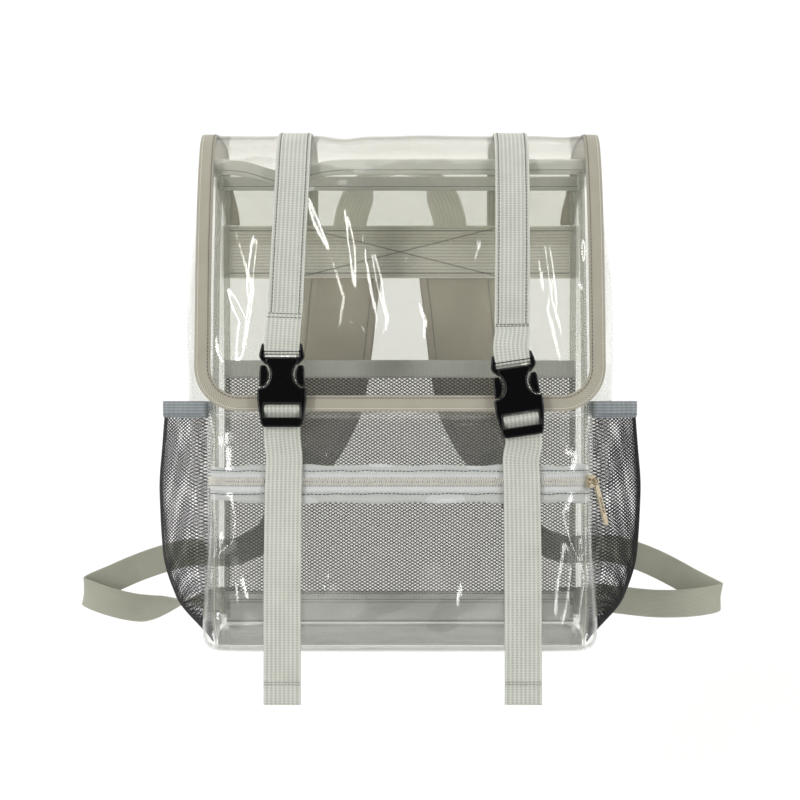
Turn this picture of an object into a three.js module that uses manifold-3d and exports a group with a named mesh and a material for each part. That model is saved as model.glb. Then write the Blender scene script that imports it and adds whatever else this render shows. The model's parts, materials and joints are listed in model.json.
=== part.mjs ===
// A clear flap-top backpack, held up by its haul loop, at its real size.
// Millimetres, +X to the right, +Y to the back, +Z up.
import * as THREE from 'three';
import { mergeVertices } from 'three/addons/utils/BufferGeometryUtils.js';
import Module from 'manifold-3d';

const wasm = await Module();
wasm.setup();

// Thicknesses and the clearance between pieces that touch
const gap = 0.3;
const pvc = 1;
const tape = 1;
const netting = 1;
const webbing = 1.5;

// Main compartment
const rimHeight = 406;
const frontPanelWidth = 311;
const backPanelWidth = 324;
const mainDepth = 122;
const gussetBulge = 24;
const rimBindingHeight = 12;
const rimDip = 10;

// Flap
const flapWidth = 337;
const flapRearWidth = 319;
const lidRise = 22;
const flapDrop = 212;
const flapCorner = 36;
const flapBindingWidth = 13;
const flapTuck = 18;

// Front pocket and its zip
const pocketHeight = 195;
const pocketDepth = 48;
const pocketWidth = 330;
const pocketPull = 5;
const zipHeight = 138;
const upperTape = 11.5;
const lowerTape = 16;
const upperLap = 5;
const lowerLap = 9;
const coilWidth = 8.4;
const coilThickness = 1.8;

// Zip slider and pull
const sliderLength = 12;
const sliderWidth = 10;
const sliderThickness = 2.4;
const bridgeBar = 1.6;
const eyeRadius = 1.7;
const eyeWire = 1.3;
const pullLength = 36;
const pullWidth = 6.4;
const pullThickness = 1.5;

// Net pockets
const sidePocketHeight = 189;
const sidePocketBulge = 31;
const sideHemHeight = 14;
const netHemThickness = 1.6;
const innerPocketFoot = 29;
const innerPocketTop = 224;
const innerHemHeight = 16;
const innerPocketSag = 12;

// Back band and haul loop
const bandTop = 363;
const bandHeight = 48;
const haulWidth = 30;
const haulSpacing = 46;
const haulRise = 52;
const haulReach = 15;

// Front straps and their buckles
const strapSpacing = 95;
const upperStrapWidth = 28.5;
const lowerStrapWidth = 29.5;
const buckleHeight = 216;
const buckleWidth = 39.4;
const buckleLength = 68;
const buckleThickness = 8.5;
const buckleStandOff = 2;
const turnBar = 2.2;
const tailDrop = 38;
const strapFree = 34;
// Where the lower straps lie on the pocket: shares of the zip's height below it, then steps past it
const strapRises = [0.029, 0.047, 0.072, 0.116, 0.188, 0.29, 0.42, 0.551, 0.681, 0.812];
const coilSteps = [-14, -6, 6];
const ladderSetBack = 0.8;
const earClear = 12;

// Shoulder straps
const padSpacing = 52;
const padWidth = 70;
const padThickness = 7;
const padTop = 357;
const padEnd = 140;
const shoulderWebWidth = 25;
const padBow = 26;
const sideLoopReach = 291;
const sideLoopHeight = 57;
const anchorHeight = 21;

// Rows over the height of the body: shares of the panel widths, depth and bulge
const bodyRows = [
  { height: 0.0, width: 0.985, front: -0.49, back: 0.49, bulge: 0.12 },
  { height: 0.08, width: 1.0, front: -0.5, back: 0.5, bulge: 0.42 },
  { height: 0.25, width: 1.0, front: -0.505, back: 0.51, bulge: 0.74 },
  { height: 0.5, width: 1.0, front: -0.5, back: 0.51, bulge: 1.0 },
  { height: 0.7, width: 1.0, front: -0.455, back: 0.5, bulge: 0.92 },
  { height: 0.86, width: 1.0, front: -0.385, back: 0.475, bulge: 0.72 },
  { height: 1.0, width: 1.0, front: -0.33, back: 0.45, bulge: 0.15 },
];

// Side view of the flap in front of the band: shares of depth, lid rise and drop
const flapRows = [
  { depth: 0.5, rise: 0.0, drop: 0.04 },
  { depth: 0.475, rise: 0.5, drop: 0.0 },
  { depth: 0.39, rise: 0.93, drop: 0.0 },
  { depth: 0.17, rise: 1.04, drop: 0.0 },
  { depth: -0.08, rise: 1.02, drop: 0.0 },
  { depth: -0.25, rise: 0.97, drop: 0.0 },
  { depth: -0.345, rise: 0.62, drop: 0.0 },
  { depth: -0.42, rise: 0.0, drop: 0.01 },
  { depth: -0.5, rise: 0.0, drop: 0.15 },
  { depth: -0.57, rise: 0.0, drop: 0.335 },
  { depth: -0.615, rise: 0.0, drop: 0.55 },
  { depth: -0.645, rise: 0.0, drop: 0.77 },
  { depth: -0.675, rise: 0.0, drop: 1.0 },
];

// Pocket rows from the floor up: shares of its height, depth and width
const pocketRows = [
  { height: 0.0, depth: 0.0, width: 0.945 },
  { height: 0.003, depth: 0.55, width: 0.95 },
  { height: 0.012, depth: 0.86, width: 0.965 },
  { height: 0.04, depth: 0.95, width: 0.985 },
  { height: 0.11, depth: 1.0, width: 1.0 },
  { height: 0.23, depth: 1.01, width: 0.994 },
  { height: 0.4, depth: 0.95, width: 0.978 },
  { height: 0.56, depth: 0.84, width: 0.972 },
  { height: 0.71, depth: 0.69, width: 0.973 },
  { height: 0.88, depth: 0.46, width: 0.97 },
  { height: 0.965, depth: 0.31, width: 0.966 },
  { height: 0.993, depth: 0.17, width: 0.962 },
  { height: 1.0, depth: 0.0, width: 0.955 },
];
const pocketEase = 8;
const pocketColumns = [0, 0.18, 0.36, 0.54, 0.7, 0.82, 0.9, 0.95, 0.98, 0.995, 1];
const pocketSquareness = 16;

// Net side pocket: how far it stands off the gusset, share of its bulge
const sidePocketRows = [
  { height: 0.0, stand: 0.02 },
  { height: 0.06, stand: 0.36 },
  { height: 0.18, stand: 0.78 },
  { height: 0.38, stand: 1.0 },
  { height: 0.65, stand: 0.95 },
  { height: 0.9, stand: 0.74 },
  { height: 1.0, stand: 0.66 },
];

// Broad soft folds in the clear panels: places and sizes as shares of the panel
const frontFolds = [
  { across: -0.55, up: 0.72, length: 0.3, width: 0.05, depth: 0.05, lean: 0.25 },
  { across: 0.66, up: 0.7, length: 0.28, width: 0.045, depth: 0.045, lean: -0.3 },
];
const flapFolds = [
  { across: -0.27, up: 0.55, length: 0.35, width: 0.05, depth: 0.022, lean: -0.2 },
  { across: 0.78, up: 0.45, length: 0.3, width: 0.05, depth: 0.02, lean: 0.25 },
  { across: -0.8, up: 0.3, length: 0.3, width: 0.05, depth: 0.02, lean: 0.15 },
];
const pocketFolds = [
  { across: -0.82, up: 0.28, length: 0.3, width: 0.05, depth: 0.07, lean: -0.25 },
  { across: 0.84, up: 0.3, length: 0.3, width: 0.05, depth: 0.07, lean: 0.25 },
  { across: 0.05, up: 0.3, length: 0.45, width: 0.16, depth: -0.04, lean: 0.1 },
];

// Haul loop from one foot to its crown: shares of its spacing, reach and rise
const haulRows = [
  { across: 1.0, reach: 0.0, up: -0.58, twist: 0 },
  { across: 1.0, reach: 0.0, up: -0.05, twist: 0 },
  { across: 0.95, reach: 0.1, up: 0.22, twist: 6 },
  { across: 0.84, reach: 0.35, up: 0.5, twist: 22 },
  { across: 0.66, reach: 0.65, up: 0.76, twist: 48 },
  { across: 0.36, reach: 0.92, up: 0.95, twist: 74 },
  { across: 0.0, reach: 1.0, up: 1.0, twist: 90 },
];

// The two front straps: shares of the strap spacing and of the buckle height
const frontStraps = [
  { name: 'left', side: -1, top: 0.935, low: 1.005, tail: 0.985, tip: 1.01, up: 1.0, turn: 0 },
  { name: 'right', side: 1, top: 0.985, low: 1.0, tail: 1.03, tip: 1.045, up: 0.965, turn: 8.5 },
];

// Shoulder pad rows from the band down: shares of pad length, spacing, bow and width
const padRows = [
  { down: 0.0, across: 0.96, bow: 0.0, width: 0.98, thick: 0.42 },
  { down: 0.17, across: 1.0, bow: 0.0, width: 1.0, thick: 0.5 },
  { down: 0.3, across: 1.07, bow: 0.28, width: 1.0, thick: 0.95 },
  { down: 0.5, across: 1.17, bow: 0.8, width: 1.0, thick: 1.0 },
  { down: 0.7, across: 1.3, bow: 1.0, width: 0.98, thick: 1.0 },
  { down: 0.86, across: 1.5, bow: 0.9, width: 0.84, thick: 0.95 },
  { down: 0.95, across: 1.66, bow: 0.8, width: 0.68, thick: 0.75 },
  { down: 1.0, across: 1.76, bow: 0.74, width: 0.5, thick: 0.5 },
];

// Body profile helpers

// Smooth curve through a table's rows, read at a share of the first column
function along(rows, key, column, share) {
  const last = rows.length - 1;
  const at = THREE.MathUtils.clamp(share, rows[0][key], rows[last][key]);
  let i = 0;
  while (i < last - 1 && at > rows[i + 1][key]) i += 1;
  const slope = (a, b) => (rows[b][column] - rows[a][column]) / (rows[b][key] - rows[a][key]);
  const span = rows[i + 1][key] - rows[i][key];
  const here = slope(i, i + 1);
  const start = i > 0 ? easedSlope(slope(i - 1, i), here) : here;
  const end = i < last - 1 ? easedSlope(here, slope(i + 1, i + 2)) : here;
  const t = (at - rows[i][key]) / span;
  const rise = rows[i + 1][column] - rows[i][column];
  const bend = (start * (1 - t) - end * t) * span - rise * (1 - 2 * t);
  return rows[i][column] + rise * t + t * (1 - t) * bend;
}

// A slope between two neighbours that never overshoots either
function easedSlope(a, b) {
  if (a * b <= 0) return 0;
  return (2 * a * b) / (a + b);
}

function smooth(from, to, value) {
  return THREE.MathUtils.smoothstep(value, from, to);
}

// How deep the broad folds press into a panel at one place
function foldDepth(folds, across, up, size) {
  let depth = 0;
  for (const fold of folds) {
    const rise = (up - fold.up) / fold.length;
    if (Math.abs(rise) >= 1) continue;
    const off = (across - fold.across - fold.lean * rise * fold.length) / fold.width;
    depth += fold.depth * size * Math.exp(-off * off) * Math.cos((rise * Math.PI) / 2) ** 2;
  }
  return depth;
}

// The walls stand straight inside the binding of the rim
function bodyAt(z) {
  const share = Math.min(z, rimHeight - rimBindingHeight) / rimHeight;
  const width = along(bodyRows, 'height', 'width', share);
  return {
    front: (frontPanelWidth / 2) * width,
    back: (backPanelWidth / 2) * width,
    yFront: mainDepth * along(bodyRows, 'height', 'front', share),
    yBack: mainDepth * along(bodyRows, 'height', 'back', share),
    bulge: gussetBulge * along(bodyRows, 'height', 'bulge', share),
  };
}

// Solid makers

function solidMesh(positions, triangles) {
  let volume = 0;
  for (const [a, b, c] of triangles) {
    volume += positions[a].dot(positions[b].clone().cross(positions[c]));
  }
  const faces = volume < 0 ? triangles.map(([a, b, c]) => [a, c, b]) : triangles;
  const geometry = new THREE.BufferGeometry();
  const flat = positions.flatMap((p) => [p.x, p.y, p.z]);
  geometry.setAttribute('position', new THREE.Float32BufferAttribute(flat, 3));
  geometry.setIndex(faces.flat());
  geometry.computeVertexNormals();
  return geometry;
}

// A closed wall between an outer grid of points and an inner one
function wallBetween(outer, inner) {
  const rows = outer.length;
  const columns = outer[0].length;
  const positions = [...outer.flat(), ...inner.flat()];
  const under = rows * columns;
  const id = (r, c) => r * columns + c;
  const triangles = [];
  const quad = (a, b, c, d) => triangles.push([a, b, c], [a, c, d]);
  for (let r = 0; r < rows - 1; r += 1) {
    for (let c = 0; c < columns - 1; c += 1) {
      quad(id(r, c), id(r, c + 1), id(r + 1, c + 1), id(r + 1, c));
      quad(under + id(r, c), under + id(r + 1, c), under + id(r + 1, c + 1), under + id(r, c + 1));
    }
  }
  for (let c = 0; c < columns - 1; c += 1) {
    quad(id(0, c + 1), id(0, c), under + id(0, c), under + id(0, c + 1));
    quad(id(rows - 1, c), id(rows - 1, c + 1), under + id(rows - 1, c + 1), under + id(rows - 1, c));
  }
  for (let r = 0; r < rows - 1; r += 1) {
    const end = columns - 1;
    quad(id(r, 0), id(r + 1, 0), under + id(r + 1, 0), under + id(r, 0));
    quad(id(r + 1, end), id(r, end), under + id(r, end), under + id(r + 1, end));
  }
  return solidMesh(positions, triangles);
}

// Normals of a grid of points, by the step to each side
function gridNormals(grid) {
  const rows = grid.length;
  const columns = grid[0].length;
  return grid.map((row, r) => row.map((point, c) => {
    const across = row[Math.min(c + 1, columns - 1)].clone().sub(row[Math.max(c - 1, 0)]);
    const up = grid[Math.min(r + 1, rows - 1)][c].clone().sub(grid[Math.max(r - 1, 0)][c]);
    return across.cross(up).normalize();
  }));
}

// A body lofted through rings of points, with caps or closed on itself; both faces
// of a strap are split along the same diagonal, so that a twisted one bends alike
function loft(rings, cap) {
  const count = rings[0].length;
  const positions = rings.flat();
  const triangles = [];
  const turns = cap ? rings.length - 1 : rings.length;
  for (let r = 0; r < turns; r += 1) {
    const next = (r + 1) % rings.length;
    for (let i = 0; i < count; i += 1) {
      const j = (i + 1) % count;
      const a = r * count + i;
      const b = r * count + j;
      const c = next * count + j;
      const d = next * count + i;
      if (i < count / 2) triangles.push([a, b, c], [a, c, d]);
      else triangles.push([a, b, d], [b, c, d]);
    }
  }
  if (cap) {
    const end = (rings.length - 1) * count;
    for (const [a, b, c] of cap) {
      triangles.push([c, b, a], [end + a, end + b, end + c]);
    }
  }
  return solidMesh(positions, triangles);
}

const stripCap = [[0, 1, 2], [0, 2, 3]];
const channelCap = [[0, 1, 6], [0, 6, 7], [1, 2, 5], [1, 5, 6], [2, 3, 4], [2, 4, 5]];

// A flat strap through stations of { at, across }, with a width and a thickness
function strap(stations, width, thickness) {
  const rings = stations.map((station, i) => {
    const before = stations[Math.max(i - 1, 0)].at;
    const after = stations[Math.min(i + 1, stations.length - 1)].at;
    const run = after.clone().sub(before).normalize();
    const across = station.across.clone();
    across.addScaledVector(run, -across.dot(run)).normalize();
    const face = run.clone().cross(across);
    const half = (station.width ?? width) / 2;
    const corner = (a, f) => station.at.clone()
      .addScaledVector(across, a * half).addScaledVector(face, (f * thickness) / 2);
    return [corner(-1, -1), corner(1, -1), corner(1, 1), corner(-1, 1)];
  });
  return loft(rings, stripCap);
}

// Binding tape folded over an edge: a channel of eight points at each station,
// where place(e, n) gives the point e inwards from the edge and n off its middle
function channelRing(place, wall, width) {
  const inside = wall / 2 + gap;
  const outside = inside + tape;
  return [
    place(width, outside), place(-gap - tape, outside),
    place(-gap - tape, -outside), place(width, -outside),
    place(width, -inside), place(-gap, -inside),
    place(-gap, inside), place(width, inside),
  ];
}

function extruded(shape, depth, curveSegments = 6) {
  const options = { depth, bevelEnabled: false, curveSegments };
  const geometry = new THREE.ExtrudeGeometry(shape, options);
  geometry.translate(0, 0, -depth / 2);
  return geometry;
}

// Boolean joins

function toSolid(geometry) {
  const bare = geometry.clone();
  bare.deleteAttribute('normal');
  bare.deleteAttribute('uv');
  const merged = mergeVertices(bare, 1e-4);
  return new wasm.Manifold(new wasm.Mesh({
    numProp: 3,
    vertProperties: Float32Array.from(merged.attributes.position.array),
    triVerts: Uint32Array.from(merged.index.array),
  }));
}

function joined(geometries) {
  return fromSolid(geometries.map(toSolid).reduce((whole, piece) => whole.add(piece)));
}

function fromSolid(solid) {
  const mesh = solid.getMesh();
  const geometry = new THREE.BufferGeometry();
  geometry.setAttribute('position', new THREE.BufferAttribute(mesh.vertProperties, 3));
  geometry.setIndex(new THREE.BufferAttribute(mesh.triVerts, 1));
  geometry.computeVertexNormals();
  return geometry;
}

function polygon(points) {
  const shape = new THREE.Shape();
  points.forEach(([x, y], i) => (i ? shape.lineTo(x, y) : shape.moveTo(x, y)));
  shape.closePath();
  return shape;
}

// Materials

const finishes = {
  clear_pvc: { color: 0xdfe2df, roughness: 0.1, metalness: 0, opacity: 0.35 },
  binding_tape: { color: 0xaeada1, roughness: 0.8, metalness: 0 },
  pale_webbing: { color: 0xd3d6cd, roughness: 0.8, metalness: 0 },
  olive_webbing: { color: 0xaeae9f, roughness: 0.8, metalness: 0 },
  black_net: { color: 0x303236, roughness: 0.85, metalness: 0 },
  grey_elastic: { color: 0x8d979b, roughness: 0.8, metalness: 0 },
  black_plastic: { color: 0x0b0b0c, roughness: 0.35, metalness: 0 },
  zip_tape: { color: 0xdfe1e2, roughness: 0.8, metalness: 0 },
  zip_coil: { color: 0xc9c4b3, roughness: 0.5, metalness: 0 },
  pale_gold: { color: 0xcdbfa6, roughness: 0.3, metalness: 1 },
  pad_cloth: { color: 0xa79f94, roughness: 0.85, metalness: 0 },
};

const bag = new THREE.Group();

function addPiece(name, geometry, finish) {
  const { opacity, ...look } = finishes[finish];
  const material = new THREE.MeshStandardMaterial(look);
  if (opacity) Object.assign(material, { transparent: true, opacity });
  const mesh = new THREE.Mesh(geometry, material);
  mesh.name = name;
  bag.add(mesh);
  return mesh;
}

function spread(count, from = 0, to = 1) {
  return Array.from({ length: count + 1 }, (_, i) => from + ((to - from) * i) / count);
}

// Clear body panels

// The rim of the front panel dips beside the left strap
function frontRim(x) {
  const off = (x / strapSpacing + 1.03) / 0.27;
  return rimHeight - rimDip * Math.exp(-off * off);
}

function frontFace(x, z) {
  const body = bodyAt(z);
  const across = x / body.front;
  const high = smooth(pocketHeight, pocketHeight + 30, z);
  const press = high * foldDepth(frontFolds, across, z / rimHeight, mainDepth);
  return body.yFront + press * (1 - Math.abs(across) ** 6);
}

// Columns of the four walls, shared with the binding round them
const frontColumns = spread(12, -1, 1);
const sideColumns = spread(9);
const backColumns = spread(4, 1, -1);

function frontPanel() {
  const outer = wallHeights.map((height) => frontColumns.map((u) => {
    const x = u * bodyAt(height).front;
    return new THREE.Vector3(x, frontFace(x, height), (height * frontRim(x)) / rimHeight);
  }));
  const inner = outer.map((row) => row.map((p) => p.clone().setY(p.y + pvc)));
  return wallBetween(outer, inner);
}

function backFace(z) {
  return bodyAt(z).yBack;
}

function backPanel() {
  const outer = wallHeights.map((z) => backColumns.map((u) => {
    return new THREE.Vector3(u * bodyAt(z).back, backFace(z), z);
  }));
  const inner = outer.map((row) => row.map((p) => p.clone().setY(p.y - pvc)));
  return wallBetween(outer, inner);
}

// A side gusset balloons out between the front and back panels
function gussetPoint(side, v, z) {
  const body = bodyAt(z);
  const y = THREE.MathUtils.lerp(body.yFront + pvc + gap, body.yBack - pvc - gap, v);
  const flat = THREE.MathUtils.lerp(body.front, body.back, v);
  const crease = 0.14 * Math.sin(3 * Math.PI * v) * smooth(0.35, 0.75, z / rimHeight);
  const swell = body.bulge * (Math.sin(Math.PI * v) - crease);
  return new THREE.Vector3(side * (flat + swell), y, z);
}

function levelWall(outer, thickness, side) {
  const normals = gridNormals(outer);
  const inner = outer.map((row, r) => row.map((p, c) => {
    const level = normals[r][c].clone().setZ(0).normalize();
    if (level.x * side < 0) level.negate();
    return p.clone().addScaledVector(level, -thickness);
  }));
  return wallBetween(outer, inner);
}

// Wall rows, with one at the foot of the rim's binding
const wallHeights = [...spread(9, 0, rimHeight - rimBindingHeight), rimHeight];

function gusset(side) {
  const outer = wallHeights.map((z) => sideColumns.map((v) => gussetPoint(side, v, z)));
  return levelWall(outer, pvc, side);
}

function basePanel() {
  const body = bodyAt(0);
  const set = pvc + gap;
  const rows = spread(6).map((v) => {
    const edge = gussetPoint(1, v, 0);
    return spread(6, -1, 1).map((u) => {
      const inset = edge.x - 1.6 * set;
      const y = THREE.MathUtils.lerp(body.yFront + set, body.yBack - set, v);
      return new THREE.Vector3(u * inset, y, 0);
    });
  });
  const raised = rows.map((row) => row.map((p) => p.clone().setZ(pvc)));
  return wallBetween(raised, rows);
}

// Binding round the mouth: one channel that follows the four rims and the walls below
function rimPath() {
  const half = pvc / 2;
  const path = [];
  const straight = (back) => (u) => {
    const turn = Math.abs(u) === 1 ? Math.sign(u) : 0;
    const place = (e, n) => {
      const body = bodyAt(rimHeight - e);
      const x = u * ((back ? body.back : body.front) - half);
      const top = back ? rimHeight : frontRim(x);
      const face = back ? body.yBack - half : frontFace(x, rimHeight - e) + half;
      return new THREE.Vector3(x + n * turn, face + n * (back ? 1 : -1), top - e);
    };
    path.push(place);
  };
  const side = (sign) => (v) => path.push((e, n) => {
    const p = gussetPoint(sign, v, rimHeight - e);
    return new THREE.Vector3(p.x + sign * (n - half), p.y, rimHeight - e);
  });
  frontColumns.forEach(straight(false));
  sideColumns.slice(1, -1).forEach(side(1));
  backColumns.forEach(straight(true));
  sideColumns.slice(1, -1).reverse().forEach(side(-1));
  return path;
}

function mouthBinding() {
  return loft(rimPath().map((place) => channelRing(place, pvc, rimBindingHeight)));
}

// Flap

function flapProfile() {
  const seated = [bandTop - flapTuck, bandTop - flapTuck / 3];
  const points = seated.map((z) => new THREE.Vector3(0, backFace(z) + gap, z));
  const freed = bandTop + tape;
  points.push(new THREE.Vector3(0, backFace(freed) + 3 * gap + tape, freed));
  for (const row of flapRows) {
    const z = rimHeight + row.rise * lidRise - row.drop * flapDrop;
    points.push(new THREE.Vector3(0, row.depth * mainDepth, z));
  }
  const curve = new THREE.CatmullRomCurve3(points, false, 'centripetal');
  curve.arcLengthDivisions = 400;
  return curve;
}

const flapCurve = flapProfile();
const flapLength = flapCurve.getLength();

// A point on the flap: x across, s along its side view, n out from its inner face
function onFlap(x, s, n) {
  const share = THREE.MathUtils.clamp(s / flapLength, 0, 1);
  const at = flapCurve.getPointAt(share);
  const run = flapCurve.getTangentAt(share);
  const over = s - share * flapLength;
  const inside = smooth(0, flapBindingWidth, flapWidth / 2 - flapBindingWidth - Math.abs(x));
  const press = inside * foldDepth(flapFolds, (2 * x) / flapWidth, 1 - share, mainDepth);
  const out = n - press;
  return new THREE.Vector3(x, at.y + run.z * out + run.y * over, at.z - run.y * out + run.z * over);
}

const sheetLength = flapLength - gap - tape;

// Half of the sheet's width, narrower at the band and round at the lower corners
function flapHalf(s) {
  const rear = (flapWidth - flapRearWidth) / 2;
  const full = flapWidth / 2 - gap - tape;
  const wide = full - rear * (1 - smooth(flapTuck, flapTuck + 50, s));
  const into = s - (sheetLength - flapCorner);
  if (into <= 0) return wide;
  return full - flapCorner + Math.sqrt(Math.max(flapCorner ** 2 - into ** 2, 0));
}

function flapStations() {
  const rows = spread(17, 0, sheetLength - flapCorner);
  for (const degrees of [18, 36, 54, 72, 90]) {
    const turn = THREE.MathUtils.degToRad(degrees);
    rows.push(sheetLength - flapCorner + flapCorner * Math.sin(turn));
  }
  return rows;
}

function flap() {
  const edge = 1 - flapBindingWidth / (flapWidth / 2);
  const columns = [-1, ...spread(10, -edge, edge), 1];
  const sheet = (n) => flapStations().map((s) => columns.map((u) => onFlap(u * flapHalf(s), s, n)));
  return wallBetween(sheet(pvc), sheet(0));
}

// The edge of the flap's sheet as { x, s } with its outward direction
function flapEdge() {
  const side = flapStations().map((s) => {
    const into = THREE.MathUtils.clamp((s - (sheetLength - flapCorner)) / flapCorner, 0, 1);
    const turn = Math.asin(into);
    return { x: flapHalf(s), s, ex: Math.cos(turn), es: Math.sin(turn) };
  });
  const last = side[side.length - 1].x;
  const foot = spread(8, 1, -1).slice(1, -1).map((u) => ({ x: u * last, s: sheetLength, ex: 0, es: 1 }));
  const mirrored = side.map((p) => ({ ...p, x: -p.x, ex: -p.ex })).reverse();
  return [...side, ...foot, ...mirrored];
}

function flapBinding() {
  const clearOfBand = flapTuck + gap;
  const rings = flapEdge().filter((p) => p.s > clearOfBand).map((p) => channelRing(
    (e, n) => onFlap(p.x - e * p.ex, p.s - e * p.es, pvc / 2 + n),
    pvc, flapBindingWidth - tape,
  ));
  return loft(rings, channelCap);
}

// Front pocket

function pocketAt(z) {
  const share = z / pocketHeight;
  return {
    half: (pocketWidth / 2) * along(pocketRows, 'height', 'width', share),
    depth: pocketDepth * along(pocketRows, 'height', 'depth', share),
  };
}

// Outer face of the pocket at a share across and a height: its sides draw in
// towards the panel, except near the floor and the top seam. Inset makes it the
// inner face, with its rim beside the outer one on the panel
function pocketPoint(u, z, inset = 0) {
  const pocket = pocketAt(z);
  const up = z / pocketHeight;
  const side = Math.sqrt(Math.max(1 - Math.abs(u) ** pocketSquareness, 0));
  const drawn = pocketPull * smooth(0, 0.12, up) * (1 - smooth(0.86, 1, up)) * (1 - side) ** 1.5;
  const x = u * (pocket.half - inset) - Math.sign(u) * drawn;
  const calm = smooth(0.02, 0.12, up) * smooth(lowerTape, 2 * lowerTape, Math.abs(z - zipHeight));
  const press = calm * side * foldDepth(pocketFolds, u, up, pocketDepth);
  const depth = Math.max(pocket.depth - inset, 0);
  const level = z + inset * (1 - smooth(0, pocketEase, z) - smooth(pocketHeight - pocketEase, pocketHeight, z));
  return new THREE.Vector3(x, bodyAt(z).yFront - gap - depth * side + press, level);
}

function pocketFaceAt(x, z) {
  return pocketPoint(x / pocketAt(z).half, z).y;
}

function pocketWall(heights) {
  const columns = [...pocketColumns.slice(1).reverse().map((u) => -u), ...pocketColumns];
  const face = (inset) => heights.map((z) => columns.map((u) => pocketPoint(u, z, inset)));
  return wallBetween(face(0), face(pvc));
}

const upperEdge = zipHeight + upperTape - upperLap;
const lowerEdge = zipHeight - lowerTape + lowerLap;

function upperPocket() {
  const shares = [0.8, 0.88, 0.94, 0.975, 0.993, 0.999];
  return pocketWall([upperEdge, ...shares.map((share) => share * pocketHeight), pocketHeight]);
}

function lowerPocket() {
  const shares = [0, 0.003, 0.012, 0.04, 0.12, 0.27, 0.45];
  const heights = shares.map((share) => share * pocketHeight);
  return pocketWall([...heights, zipHeight - lowerTape, lowerEdge]);
}

// A strip that follows the pocket face between two heights, set in by a depth
const stripColumns = pocketColumns.filter((u) => u <= 0.98);

function faceStrip(low, high, setIn, thickness) {
  const columns = [...stripColumns.slice(1).reverse().map((u) => -u), ...stripColumns];
  const grid = (depth) => [low, high].map((z) => columns.map((u) => {
    const p = pocketPoint(u, z);
    const tuck = Math.max(depth, 0) * Math.abs(u) ** 12 * Math.sign(u);
    return new THREE.Vector3(p.x - tuck, Math.min(p.y + depth, bodyAt(z).yFront - gap), z);
  }));
  return wallBetween(grid(setIn), grid(setIn + thickness));
}

const tapeSetIn = pvc + gap;
const coilFront = tapeSetIn - gap - coilThickness;

function zipTape(upper) {
  const seam = 0.4;
  const low = upper ? zipHeight + seam : zipHeight - lowerTape;
  const high = upper ? zipHeight + upperTape : zipHeight - seam;
  return faceStrip(low, high, tapeSetIn, tape);
}

function zipCoil() {
  const half = coilWidth / 2;
  return faceStrip(zipHeight - half, zipHeight + half, coilFront, coilThickness);
}

// The slider sits square to the pocket's face near its right-hand corner
const sliderShare = 0.955;
const barOff = eyeRadius + eyeWire + gap;

function sliderFrame() {
  const here = pocketPoint(sliderShare, zipHeight);
  const run = pocketPoint(sliderShare + 0.02, zipHeight).sub(pocketPoint(sliderShare - 0.02, zipHeight));
  run.normalize();
  const up = new THREE.Vector3(0, 0, 1);
  const inward = up.clone().cross(run);
  here.addScaledVector(inward, Math.min(coilFront, 0) - gap);
  return new THREE.Matrix4().makeBasis(run, inward, up).setPosition(here);
}

const sliderPlace = sliderFrame();

// Slider plate with an arched bridge, standing out along -Y before it is placed
function zipSlider() {
  const plate = new THREE.BoxGeometry(sliderLength, sliderThickness, sliderWidth);
  plate.translate(0, -sliderThickness / 2, 0);
  const half = sliderLength / 2 - 1.2;
  const out = sliderThickness + barOff + bridgeBar / 2;
  const inner = sliderThickness + barOff - bridgeBar / 2;
  const foot = sliderThickness - 0.5;
  const arch = polygon([
    [-half - 0.8, -foot], [half + 0.8, -foot], [half + 0.5, -out * 0.8], [half - 0.6, -out],
    [-half + 0.6, -out], [-half - 0.5, -out * 0.8],
  ]);
  const hole = polygon([
    [-half + 0.6, -foot - 0.5], [-half + 0.8, -inner * 0.85], [-half + 1.4, -inner],
    [half - 1.4, -inner], [half - 0.8, -inner * 0.85], [half - 0.6, -foot - 0.5],
  ]);
  arch.holes.push(new THREE.Path(hole.getPoints()));
  const slider = joined([plate, extruded(arch, bridgeBar)]);
  return slider.applyMatrix4(sliderPlace);
}

// Pull: an eye round the bridge bar, and a flat tab with a long window
function zipPull() {
  const ring = new THREE.Shape();
  ring.absarc(0, 0, eyeRadius + eyeWire, 0, 2 * Math.PI);
  const hole = new THREE.Path();
  hole.absarc(0, 0, eyeRadius, 0, 2 * Math.PI);
  ring.holes.push(hole);
  const eye = extruded(ring, pullThickness, 8);
  eye.rotateY(Math.PI / 2);
  const half = pullWidth / 2;
  const top = -eyeRadius - eyeWire * 0.4;
  const tab = polygon([
    [-pullThickness / 2, top], [-half, top - 3], [-half, -pullLength + 1.5],
    [-half + 1.5, -pullLength], [half - 1.5, -pullLength], [half, -pullLength + 1.5],
    [half, top - 3], [pullThickness / 2, top],
  ]);
  const side = half - 1.5;
  const high = -pullLength * 0.36;
  const low = -pullLength * 0.74;
  const window = polygon([[-side, high], [side, high], [side, low], [-side, low]]);
  tab.holes.push(new THREE.Path(window.getPoints()));
  const plate = extruded(tab, pullThickness);
  plate.rotateX(Math.PI / 2);
  const pull = joined([eye, plate]);
  pull.rotateX(-pullLean);
  pull.translate(0, -sliderThickness - barOff, 0);
  return pull.applyMatrix4(sliderPlace);
}

// The pocket swells out below the zip, so the hanging pull leans out by this turn
const pullLean = THREE.MathUtils.degToRad(16);

// Net pockets

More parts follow.
